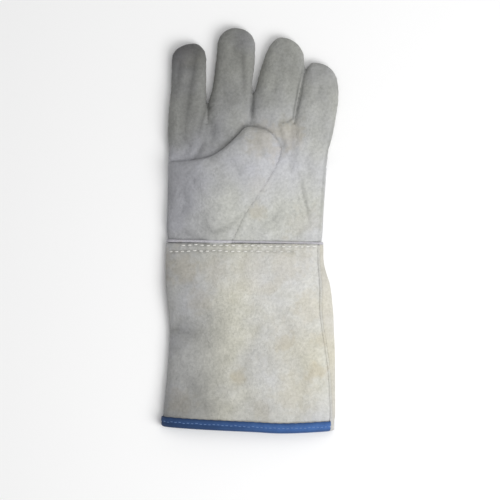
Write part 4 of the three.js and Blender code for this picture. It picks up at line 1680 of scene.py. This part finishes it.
@dataclass
class Cuff:
    """The cuff: two panels, the back one rolled over the little finger's edge, with a welt in their seam."""

    rows: int = 120
    front_points: int = 130
    back_points: int = 170
    tuck: float = 0.12
    fine_points: int = 260
    rolled_points: int = 60
    rim_reach: float = 0.01
    slack: tuple[Slack, ...] = (Slack(0.7, 30.0, 31), Slack(0.35, 10.0, 32))
    fine_slack: Slack = Slack(0.12, 4.0, 33)
    calm: float = 0.08
    calm_run: float = 8.0
    pucker: Pucker = Pucker(7.5, Slack(2.2, 20.0, 34))
    pucker_height: float = 0.30
    pucker_run: float = 7.0
    wrist_edge: Dent = Dent(0.3, 0.8)
    stitch_dent: Dent = Dent(0.45, 1.1)
    back_stitch_dent: Dent = Dent(0.3, 1.1)
    welt_edge: Dent = Dent(0.15, 1.2)
    tape_edge: Dent = Dent(0.35, 1.6)
    low_share: float = 0.3
    flange: float = 0.8
    bead_drops: tuple[float, ...] = (-2.1, -2.1, -0.3, 0.05, 0.15, 0.05, -0.3, -2.1, -2.1)
    bead_half: float = 0.5
    bead_inset: float = 0.05
    bead_start: float = 0.004
    bead_top: float = -1.0
    bare: Dent = Dent(0.6, 7.0)
    bead_floor: float = 0.5
    bead_least: float = 0.4
    bead_end: float = 0.8

    def over(self, y: float, u: Points, out: float = 0.0) -> Points:
        """Upper side of the cuff at y.

        Args:
            y: Where the section is.
            u: Shares across, from -1 to 1.
            out: How far it is moved outwards.

        Returns:
            The places on it.
        """
        middle, half = middle_and_half(CUFF, y)
        x = middle + (half + out) * u
        z = SEAM_Z + (float(CUFF.at(TOP, y)) - SEAM_Z + out) * arch(u, PALM_FULL)
        return np.stack([x, np.full_like(x, y), z], axis=1)

    def under(self, y: float, u: Points, out: float = 0.0) -> Points:
        """Lower side of the cuff at y.

        Args:
            y: Where the section is.
            u: Shares across, from -1 to 1.
            out: How far it is moved outwards.

        Returns:
            The places on it.
        """
        middle, half = middle_and_half(CUFF, y)
        x = middle + (half + out) * u
        z = underside(u, PALM_FLAT, float(hem_lift(y)) - out)
        return np.stack([x, np.full_like(x, y), z], axis=1)

    def seam_share(self, y: float, along: float) -> float:
        """Share across the upper side where the side seam lies, moved by along."""
        return 1.0 - (float(CUFF.at(SEAM_IN, y)) - along) / middle_and_half(CUFF, y)[1]

    def ends(self, x: Points) -> tuple[Points, Points]:
        """The wrist edge and the hem at x."""
        start, length = CUFF_SPAN
        return mix(*WRIST, (x - start) / length), HEM.at(ALONG, x)

    def stretch(self, points: Points, v: float, from_hem: float = 0.0) -> Points:
        """Slide a section so that v from 0 to 1 runs from the wrist edge to the hem.

        Args:
            points: The section's points, which are changed.
            v: Share of the way to the hem.
            from_hem: How far the last section stays from the hem.

        Returns:
            The same points.
        """
        wrist, hem = self.ends(points[:, 0])
        points[:, 1] = mix(wrist, hem + from_hem, v)
        return points

    def relief(self, points: Points) -> Points:
        """Folds and slack of the cuff, with puckers along its seams and dents along its stitches.

        Args:
            points: Places on the cuff.

        Returns:
            The height at each place.
        """
        x, y, z = points.T
        wrist, hem = self.ends(x)
        top = smooth((z - SEAM_Z) / SEAM_BLEND)
        seam = CUFF.at(RIGHT, y) - CUFF.at(SEAM_IN, y)
        from_welt = np.abs(x - seam) - WELT_WIDTH / 2.0
        height = (sum(fold.height(x, y) for fold in CUFF_FOLDS) + sum(slack.at(points) for slack in self.slack)) * top
        height *= mix(self.calm, 1.0, smooth(from_welt / self.calm_run))
        height += self.fine_slack.at(points)
        gathers = self.pucker_height * self.pucker.at(x, points)
        height += gathers * np.exp(-(wrist - y) / self.pucker_run) * top
        height -= self.wrist_edge.at(wrist - y)
        for row in WRIST_ROWS:
            height -= self.stitch_dent.at(along_line(x, y, row)[0]) * top
        height -= self.welt_edge.at(from_welt) * top
        height -= self.tape_edge.at(y - hem - BINDING_DEPTH)
        below = self.low_share * height * (height < 0)
        for row in BACK_WRIST_ROWS:
            below -= self.back_stitch_dent.at(along_line(x, y, row)[0])
        return np.where(top > 0, height, below)

    def front(self) -> bpy.types.Object:
        """The panel on the palm side.

        Returns:
            The panel.
        """
        rings = []
        for v in np.linspace(0.0, 1.0, self.rows):
            y = mix(WRIST[0], HEM_END, v)
            stop = self.seam_share(y, self.tuck - WELT_WIDTH / 2.0)
            line = self.over(y, mix(-1.0, stop, (across(self.fine_points) + 1.0) / 2.0))
            line[:, 2] = np.maximum(line[:, 2], SEAM_Z + GAP / 2.0)
            rings.append(self.stretch(resample(line, self.front_points), v))
        piece = leather_sheet("cuff_palm_panel_fine", rings, self.relief)
        dress(piece, Finish.CUFF, "cuff_palm_panel", folds=CUFF_FOLDS)
        return piece

    def back(self) -> bpy.types.Object:
        """The panel over the back, rolled over the little finger's edge up to the side seam.

        Returns:
            The panel.
        """
        rings = []
        for v in np.linspace(0.0, 1.0, self.rows):
            y = mix(WRIST[0], HEM_END, v)
            start = self.seam_share(y, WELT_WIDTH / 2.0 - self.tuck)
            rolled = self.over(y, mix(start, 1.0, smooth(np.linspace(0.0, 1.0, self.rolled_points))))
            below = self.under(y, across(self.fine_points))[::-1]
            below = below[below[:, 2] <= SEAM_Z - SEAM_SIDE + self.rim_reach]
            line = np.concatenate([rolled, below])
            rings.append(self.stretch(resample(line, self.back_points), v))
        piece = leather_sheet("cuff_back_panel_fine", rings, self.relief, up=False)
        dress(piece, Finish.CUFF, "cuff_back_panel")
        return piece

    def side_welt(self) -> bpy.types.Object:
        """The pale welt in the side seam: a low bead between flanges that lie under the panels' edges.

        Returns:
            The welt.
        """
        half = WELT_WIDTH / 2.0
        right = np.array([self.bead_half, half - self.bead_inset, half - self.bead_inset, half + self.flange])
        places = (*-right[::-1], 0.0, *right)
        drops = np.array(self.bead_drops)
        rings = []
        for v in np.linspace(self.bead_start, 1.0, self.rows):
            y = mix(WRIST[0], HEM_END, v)
            above = self.over(y, np.array([self.seam_share(y, place) for place in places]))
            above[:, 2] += drops + self.bare.at(y - HEM_END) * (drops > self.bead_top)
            below = above[::-1].copy()
            below[:, 2] = np.minimum(above[0, 2] - self.bead_floor, below[:, 2] - self.bead_least)
            rings.append(self.stretch(np.concatenate([above, below]), v, -WELT_RISE * self.bead_end))
        faces = tube_faces(len(rings), len(rings[0]))
        piece = make_mesh("cuff_side_welt_fine", np.concatenate(rings), faces)
        turn_outwards(piece)
        dress(piece, Finish.PALE_WELT, "cuff_side_welt")
        return piece

    def build(self) -> list[bpy.types.Object]:
        """Build and dress the cuff's pieces."""
        return [self.front(), self.back(), self.side_welt()]


@dataclass
class Binding:
    """The woven tape folded over the hem."""

    cuff: Cuff
    ring_points: int = 420
    stop: float = 0.974
    fine_points: int = 300
    fold_end: float = 0.8
    fold_rise: float = 1.7
    fold_turn: float = 0.15
    inner_end: float = 0.4
    steps: tuple[int, int, int, int, int] = (14, 8, 5, 3, 2)
    belly: float = 0.45
    belly_shape: float = 0.7
    groove: Dent = Dent(0.5, 0.7)
    groove_at: float = 3.2
    wave: float = 0.12
    wave_length: float = 7.0
    wave_from: float = 0.5
    half_length: float = 150.0
    row_width: float = 1.1
    # Painted shade on the tape's rounded rims, with a lighter and a darker band between: distance from the folded
    # edge and change of tone.
    rim_shades: tuple[tuple[float, Dent], ...] = (
        (BINDING_DEPTH, Dent(-0.45, 0.9)), (0.0, Dent(-0.30, 1.1)), (4.6, Dent(0.10, 0.9)), (6.6, Dent(-0.10, 0.9)),
    )
    # Painted highlight along the middle of the tape, turning to painted shade towards the thumb's side, and painted
    # shade over the whole tape towards that side.
    rib_side: Ramp = Ramp(-20.0, 60.0)
    rib_tone: tuple[float, float] = (-0.20, 0.20)
    rib_at: tuple[float, float] = (2.2, 2.9)
    rib_width: float = 1.0
    side: Ramp = Ramp(-60.0, 110.0)
    side_tone: tuple[float, float] = (0.60, 1.12)

    def ring(self, y: float, out: float) -> Points:
        """The cuff's section at y from the side seam round to the bare roll beside it, moved outwards.

        Args:
            y: Where the section is.
            out: How far it is moved outwards.

        Returns:
            The places on it.
        """
        start = self.cuff.seam_share(y, -WELT_WIDTH / 2.0 - GAP)
        upper = self.cuff.over(y, mix(start, -1.0, (across(self.fine_points) + 1.0) / 2.0), out)
        lower = self.cuff.under(y, mix(-1.0, self.stop, (across(self.fine_points) + 1.0) / 2.0), out)
        return resample(np.concatenate([upper, lower]), self.ring_points)

    def profile(self) -> list[tuple[float, float]]:
        """The folded tape's section as pairs of outward and upward distances, outside first.

        Returns:
            The pairs, in order round the section.
        """
        out, inn = GAP + TAPE, -LEATHER - GAP - TAPE
        middle, radius = (out + inn) / 2.0, (out - inn) / 2.0
        outer, bent, inner, back_in, back_out = self.steps
        outside = [(out + self.swell(up), up) for up in np.linspace(BINDING_DEPTH, self.fold_end, outer)]
        turn = [
            (middle + radius * math.cos(a), self.fold_end - self.fold_rise * math.sin(a))
            for a in np.linspace(self.fold_turn, math.pi - self.fold_turn, bent)
        ]
        inside = [(inn, up) for up in np.linspace(self.fold_end, BINDING_DEPTH, inner)]
        back = [(inn + TAPE, up) for up in np.linspace(BINDING_DEPTH, self.inner_end, back_in)]
        back += [(out - TAPE, up) for up in np.linspace(self.inner_end, BINDING_DEPTH, back_out)]
        return outside + turn + inside + back

    def swell(self, up: float) -> float:
        """How far the tape's outside swells between its folded edge and its stitches."""
        belly = self.belly * math.sin(math.pi * min(1.0, max(0.0, up / BINDING_DEPTH))) ** self.belly_shape
        return belly - float(self.groove.at(up - self.groove_at))

    def build(self) -> list[bpy.types.Object]:
        """Build and dress the tape.

        Returns:
            The tape.
        """
        profile = self.profile()
        columns = []
        for out, up in profile:
            line = self.ring(HEM_END + max(0.0, up), out)
            wave = self.wave * np.sin(line[:, 0] * 2.0 * math.pi / self.wave_length)
            line[:, 1] = HEM.at(ALONG, line[:, 0]) + up + wave * (up > BINDING_DEPTH - self.wave_from)
            line[:, 2] = np.maximum(line[:, 2], 0.0)
            columns.append(line)
        points = np.stack(columns, axis=1).reshape(-1, 3)
        size = len(profile)
        piece = make_mesh("hem_binding_fine", points, tube_faces(self.ring_points, size))
        turn_outwards(piece)
        self.map_tape(piece, size)
        # The tape's painted light and shade go into its tone.
        paint(piece, "tone", self.painted_shading(points[:, 0], np.tile([up for _, up in profile], self.ring_points)))
        dress(piece, Finish.TAPE, "hem_binding")
        return [piece]

    def painted_shading(self, x: Points, up: Points) -> Points:
        """Tone of the tape: its painted light and shade.

        Args:
            x: Places along the hem.
            up: Each place's distance from the folded edge.

        Returns:
            The tone: painted shade on the rounded rims, a painted highlight along the middle that turns darker
                towards the thumb's side, and painted shade over the tape towards that side.
        """
        right = self.rib_side.at(x)
        tone = 1.0 + sum(shade.at(up - middle) for middle, shade in self.rim_shades)
        tone += mix(*self.rib_tone, right) * bell(up - mix(*self.rib_at, right), self.rib_width)
        return tone * mix(*self.side_tone, self.side.at(x))

    def map_tape(self, piece: bpy.types.Object, size: int) -> None:
        """Map the tape by its length and its width, in metres.

        Args:
            piece: The tape.
            size: Number of points round its section.
        """
        layer = piece.data.uv_layers.new(name="tape")
        step, row = 2.0 * self.half_length / MM / self.ring_points, self.row_width / MM
        for face in piece.data.polygons:
            for loop in face.loop_indices:
                vertex = piece.data.loops[loop].vertex_index
                layer.data[loop].uv = ((vertex // size) * step, (vertex % size) * row)


@dataclass
class Strap:
    """The strap over the knuckles, sewn into both side seams."""

    rows: int = 70
    points: int = 170
    fine_points: int = 360
    run: tuple[float, float] = (-6.0, 60.0)
    dents: tuple[tuple[float, Dent], ...] = ((2.6, Dent(0.3, 0.8)), (0.0, Dent(0.5, 1.0)), (8.5, Dent(0.3, 0.8)))
    slack: Slack = Slack(0.1, 12.0, 41)

    def relief(self, points: Points) -> Points:
        """Dents along the strap's stitches and upper edge, and its slack, at each place."""
        from_top = mix(*STRAP_TOP, share_over(points[:, 0], WRIST_SPAN)) - points[:, 1]
        return -sum(dent.at(from_top - at) for at, dent in self.dents) - self.slack.height - self.slack.at(points)

    def build(self) -> list[bpy.types.Object]:
        """Build and dress the strap.

        Returns:
            The strap.
        """
        rings = []
        u = across(self.fine_points)
        for v in np.linspace(0.0, 1.0, self.rows):
            y = mix(*self.run, v)
            middle, half = middle_and_half(HAND, y)
            x = middle + half * u
            z = underside(u, PALM_FLAT, np.zeros_like(u))
            line = resample(np.stack([x, np.full_like(x, y), z], axis=1), self.points)
            side = share_over(line[:, 0], WRIST_SPAN)
            low = mix(*WRIST, side) + WELT_WIDTH + 2.0 * GAP
            line[:, 1] = mix(low, mix(*STRAP_TOP, side), v)
            rings.append(line)
        piece = leather_sheet("knuckle_strap_fine", rings, self.relief, up=False)
        dress(piece, Finish.STRAP, "knuckle_strap")
        return [piece]


@dataclass
class WristWelt:
    """The thin grey welt round the wrist seam."""

    thumb: Thumb
    points: int = 300
    fine_points: int = 200
    seen_edge: float = 0.995
    cover_grid: tuple[int, int] = (60, 80)
    cover_reach: float = 1.2
    sides: int = 12
    least: float = 0.05

    def path(self) -> Points:
        """The closed line round the hand at the wrist.

        Returns:
            The line's points.
        """
        y = mix(*WRIST, 0.5) + GAP + WELT_WIDTH / 2.0
        middle, half = middle_and_half(HAND, y)
        u = across(self.fine_points)
        x = middle + (half + GAP + LEATHER / 2.0) * u
        seen = np.clip(u, -self.seen_edge, self.seen_edge)
        over = hand_top(middle + half * seen, np.full_like(u, y)) + GAP + LEATHER / 2.0
        over += self.cover(x, y)
        top = np.stack([x, np.full_like(x, y), over], axis=1)
        floor = underside(u, PALM_FLAT, np.full_like(u, LEATHER / 2.0))
        bottom = np.stack([middle + (half - LEATHER / 2.0) * u, np.full_like(x, y), floor], axis=1)[::-1]
        return resample(np.concatenate([top, bottom, top[:1]]), self.points + 1)[:-1]

    def cover(self, x: Points, y: float) -> Points:
        """How far the thumb's root stands over the hand at the wrist.

        Args:
            x: Places' x.
            y: Their y.

        Returns:
            The height at each place.
        """
        rows, columns = self.cover_grid
        s, u = np.meshgrid(np.linspace(0.0, ROOT, rows), np.linspace(-1.0, 1.0, columns), indexing="ij")
        cover = self.thumb.over(s, u).reshape(-1, 3)
        band = cover[np.abs(cover[:, 1] - y) < self.cover_reach]
        band = band[np.argsort(band[:, 0])]
        rise = band[:, 2] - hand_top(band[:, 0], band[:, 1])
        return np.interp(x, band[:, 0], rise, left=0.0, right=0.0)

    def build(self) -> list[bpy.types.Object]:
        """Build and dress the welt.

        Returns:
            The welt.
        """
        path = self.path()
        path[:, 1] = mix(*WRIST, share_over(path[:, 0], WRIST_SPAN)) + GAP + WELT_WIDTH / 2.0
        ahead = np.roll(path, -1, axis=0) - np.roll(path, 1, axis=0)
        ahead /= np.linalg.norm(ahead, axis=1, keepdims=True)
        up = np.array([0.0, 1.0, 0.0])
        outward = np.cross(up, ahead)
        outward /= np.linalg.norm(outward, axis=1, keepdims=True)
        turns = np.linspace(0.0, 2.0 * math.pi, self.sides + 1)[:-1]
        rings = [
            path + up * math.cos(a) * WELT_WIDTH / 2.0 + outward * math.sin(a) * LEATHER / 2.0 for a in turns
        ]
        points = np.stack(rings, axis=1).reshape(-1, 3)
        points[:, 2] = np.maximum(points[:, 2], self.least)
        faces = grid_faces(self.points + 1, self.sides, closed=True)
        faces = [tuple(i % len(points) for i in face) for face in faces]
        piece = make_mesh("wrist_welt_fine", points, faces)
        turn_outwards(piece)
        dress(piece, Finish.WELT, "wrist_welt")
        return [piece]


@dataclass(frozen=True)
class StitchRow:
    """A row of stitches along a line seen from above or from below, in millimetres."""

    name: str
    node: str
    line: tuple[tuple[float, float], ...]
    pitch: float = 5.4
    length: float = 3.6
    width: float = 1.15
    finish: Finish = Finish.THREAD
    below: bool = False


BEAD_SIDES = 8
BEAD_RADIUS = 0.5
WOBBLE = (0.88, 1.08)
WOBBLE_SEED = 5
WOBBLE_INPUTS = (2, 3)
WOBBLE_RESULT = 1


def stitch_tree() -> bpy.types.NodeTree:
    """Geometry nodes that lay one stitch at each step along a line.

    Returns:
        The node tree, built once.
    """
    known = bpy.data.node_groups.get("stitches")
    if known:
        return known
    group = bpy.data.node_groups.new("stitches", "GeometryNodeTree")
    sockets = {"Line": "Geometry", "Pitch": "Float", "Length": "Float", "Width": "Float", "Thread": "Material"}
    for name, kind in sockets.items():
        group.interface.new_socket(name, in_out="INPUT", socket_type=f"NodeSocket{kind}")
    group.interface.new_socket("Stitches", in_out="OUTPUT", socket_type="NodeSocketGeometry")
    tree = Tree(group)
    given = tree.add("NodeGroupInput").outputs
    curve = tree.add("GeometryNodeMeshToCurve")
    steps = tree.add("GeometryNodeResampleCurve", mode="LENGTH")
    bead = tree.add("GeometryNodeMeshUVSphere")
    bead.inputs["Segments"].default_value = BEAD_SIDES
    bead.inputs["Rings"].default_value = BEAD_SIDES
    bead.inputs["Radius"].default_value = BEAD_RADIUS
    turn = tree.add("FunctionNodeAlignRotationToVector", axis="X")
    tangent = tree.add("GeometryNodeInputTangent")
    wobble = tree.add("FunctionNodeRandomValue", data_type="FLOAT")
    for socket, limit in zip(WOBBLE_INPUTS, WOBBLE):
        wobble.inputs[socket].default_value = limit
    wobble.inputs["Seed"].default_value = WOBBLE_SEED
    scale = tree.add("ShaderNodeCombineXYZ")
    copies = tree.add("GeometryNodeInstanceOnPoints")
    real = tree.add("GeometryNodeRealizeInstances")
    dressed = tree.add("GeometryNodeSetMaterial")
    result = tree.add("NodeGroupOutput")
    for source, target in (
        (given["Line"], curve.inputs["Mesh"]),
        (curve.outputs["Curve"], steps.inputs["Curve"]),
        (given["Pitch"], steps.inputs["Length"]),
        (tangent.outputs["Tangent"], turn.inputs["Vector"]),
        (tree.maths("MULTIPLY", given["Length"], wobble.outputs[WOBBLE_RESULT]), scale.inputs["X"]),
        (given["Width"], scale.inputs["Y"]),
        (given["Width"], scale.inputs["Z"]),
        (steps.outputs["Curve"], copies.inputs["Points"]),
        (bead.outputs["Mesh"], copies.inputs["Instance"]),
        (turn.outputs["Rotation"], copies.inputs["Rotation"]),
        (scale.outputs["Vector"], copies.inputs["Scale"]),
        (copies.outputs["Instances"], real.inputs["Geometry"]),
        (real.outputs["Geometry"], dressed.inputs["Geometry"]),
        (given["Thread"], dressed.inputs["Material"]),
        (dressed.outputs["Geometry"], result.inputs["Stitches"]),
    ):
        tree.link(source, target)
    return group


@dataclass
class Stitching:
    """All rows of stitches that show on the glove."""

    surfaces: Sequence[bpy.types.Object]
    rows: tuple[StitchRow, ...] = (
        StitchRow("wrist_stitches_upper", "cuff_palm_panel", WRIST_ROWS[0]),
        StitchRow("wrist_stitches_lower", "cuff_palm_panel", WRIST_ROWS[1]),
        StitchRow("wrist_stitches_thin", "cuff_palm_panel", WRIST_ROWS[2], width=0.7),
        StitchRow("binding_stitches_front", "hem_binding", BINDING_ROW, 3.8, 2.6, 0.6, Finish.TAPE_THREAD),
        StitchRow("binding_stitches_back", "hem_binding", BINDING_ROW, 3.8, 2.6, 0.6, Finish.TAPE_THREAD, True),
        StitchRow("strap_stitches_edge", "knuckle_strap", STRAP_ROWS[0], below=True),
        StitchRow("strap_stitches_second", "knuckle_strap", STRAP_ROWS[1], below=True),
        StitchRow("back_stitches_upper", "cuff_back_panel", BACK_WRIST_ROWS[0], below=True),
        StitchRow("back_stitches_lower", "cuff_back_panel", BACK_WRIST_ROWS[1], below=True),
    )
    wander: float = 0.22
    raised: float = 0.0001
    sunk: float = -0.30
    points: int = 260
    waves: tuple[float, float] = (0.9, 0.37)
    above: float = 60.0
    beneath: float = -40.0

    def landing(self, row: StitchRow) -> Points:
        """Drop the row's line onto the surface below it, or raise it where it lies underneath.

        Args:
            row: The row.

        Returns:
            The line's points, in metres.
        """
        line = resample(np.array(row.line), self.points)
        line[:, 1] += self.wander * sum(np.sin(line[:, 0] * wave) for wave in self.waves)
        hits = []
        trees = [self.tree(piece) for piece in self.surfaces if piece.name.startswith(row.node)]
        aim = Vector((0, 0, 1 if row.below else -1))
        height = self.beneath if row.below else self.above
        for x, y in line:
            start = Vector((np.array([x, y, height]) + SHIFT) / MM)
            found = [tree.ray_cast(start, aim) for tree in trees]
            found = [hit for hit in found if hit[0] is not None]
            if found:
                place, normal, *_ = min(found, key=lambda hit: hit[3])
                lift = self.sunk * row.width / MM if row.below else self.raised
                hits.append(np.array(place + normal * lift))
        return np.array(hits)

    def tree(self, piece: bpy.types.Object) -> BVHTree:
        """A search tree over a piece's faces."""
        vertices = [vertex.co for vertex in piece.data.vertices]
        return BVHTree.FromPolygons(vertices, [tuple(face.vertices) for face in piece.data.polygons])

    def build(self) -> list[bpy.types.Object]:
        """Build and dress every row.

        Returns:
            The rows.
        """
        pieces = []
        for row in self.rows:
            line = self.landing(row)
            mesh = bpy.data.meshes.new(row.name)
            mesh.from_pydata(line.tolist(), [(i, i + 1) for i in range(len(line) - 1)], [])
            piece = linked(row.name, mesh)
            nodes = piece.modifiers.new("stitches", "NODES")
            nodes.node_group = stitch_tree()
            sizes = {"Pitch": row.pitch / MM, "Length": row.length / MM, "Width": row.width / MM}
            for item in nodes.node_group.interface.items_tree:
                if item.name in sizes and item.in_out == "INPUT":
                    nodes[item.identifier] = sizes[item.name]
                if item.name == "Thread":
                    nodes[item.identifier] = material_of(row.finish)
            plain_mesh(piece)
            dress(piece, row.finish, row.node, shared=True)
            pieces.append(piece)
        return pieces


@dataclass
class Studio:
    """Floor, lights and camera."""

    distance: float = 2.4
    frame_width: float = 0.4395
    sky: float = 0.38
    lights: tuple[tuple[str, tuple[float, float, float], float, float], ...] = (
        ("key_light", (0.9, -0.55, 1.15), 1.0, 17.0), ("top_light", (0.25, 0.3, 1.6), 1.2, 7.0),
    )
    floor_half: float = 6000.0
    floor_drop: float = 0.15
    floor_white: float = 0.93
    floor_roughness: float = 0.9
    sensor: float = 36.0
    reach: float = 20.0
    offset: float = -0.0173

    def build(self) -> None:
        """Set up the floor, the lights and the camera."""
        self.floor()
        for name, place, size, power in self.lights:
            self.light(name, place, size, power)
        world = bpy.data.worlds.new("studio")
        world.use_nodes = True
        world.node_tree.nodes["Background"].inputs["Color"].default_value = (1.0, 1.0, 1.0, 1.0)
        world.node_tree.nodes["Background"].inputs["Strength"].default_value = self.sky
        bpy.context.scene.world = world
        bpy.context.scene.view_settings.view_transform = "Standard"
        self.camera()

    def floor(self) -> None:
        """A plain pale floor just under the glove."""
        signs = np.array([[-1, -1, 0], [1, -1, 0], [1, 1, 0], [-1, 1, 0]], float)
        corners = signs * self.floor_half - np.array([0.0, 0.0, self.floor_drop])
        floor = make_mesh("floor", corners, [(0, 1, 2, 3)])
        material = bpy.data.materials.new("floor_white")
        material.use_nodes = True
        shader = material.node_tree.nodes["Principled BSDF"]
        shader.inputs["Base Color"].default_value = (*[self.floor_white] * 3, 1.0)
        shader.inputs["Roughness"].default_value = self.floor_roughness
        floor.data.materials.append(material)

    def light(self, name: str, place: tuple[float, float, float], size: float, power: float) -> None:
        """Add a soft square light aimed at the glove.

        Args:
            name: Name of the light.
            place: Where it hangs, in metres.
            size: Its width, in metres.
            power: Its power, in watts.
        """
        lamp = bpy.data.lights.new(name, "AREA")
        lamp.size = size
        lamp.energy = power
        holder = linked(name, lamp)
        holder.location = place
        holder.rotation_euler = (Vector((0.0, 0.0, 0.0)) - Vector(place)).to_track_quat("-Z", "Y").to_euler()

    def camera(self) -> None:
        """A camera straight above the glove, fingers up in the picture."""
        lens = bpy.data.cameras.new("camera")
        lens.sensor_width = self.sensor
        lens.sensor_height = self.sensor
        lens.sensor_fit = "HORIZONTAL"
        lens.lens = self.sensor * self.distance / self.frame_width
        lens.clip_end = self.reach
        camera = linked("camera", lens)
        camera.location = (0.0, self.offset, self.distance)
        bpy.context.scene.camera = camera


def main() -> None:
    """Build the glove in order, then the studio round it."""
    logging.basicConfig(level=logging.INFO, format="%(name)s: %(message)s")
    thumb, cuff = Thumb(), Cuff()
    pieces: list[bpy.types.Object] = []
    for part in (Hand(), thumb, cuff, Strap(), WristWelt(thumb), Binding(cuff)):
        pieces += part.build()
    pieces += Stitching(pieces).build()
    Studio().build()
    LOG.info("%d pieces", len(pieces))


if __name__ == "__main__":
    main()
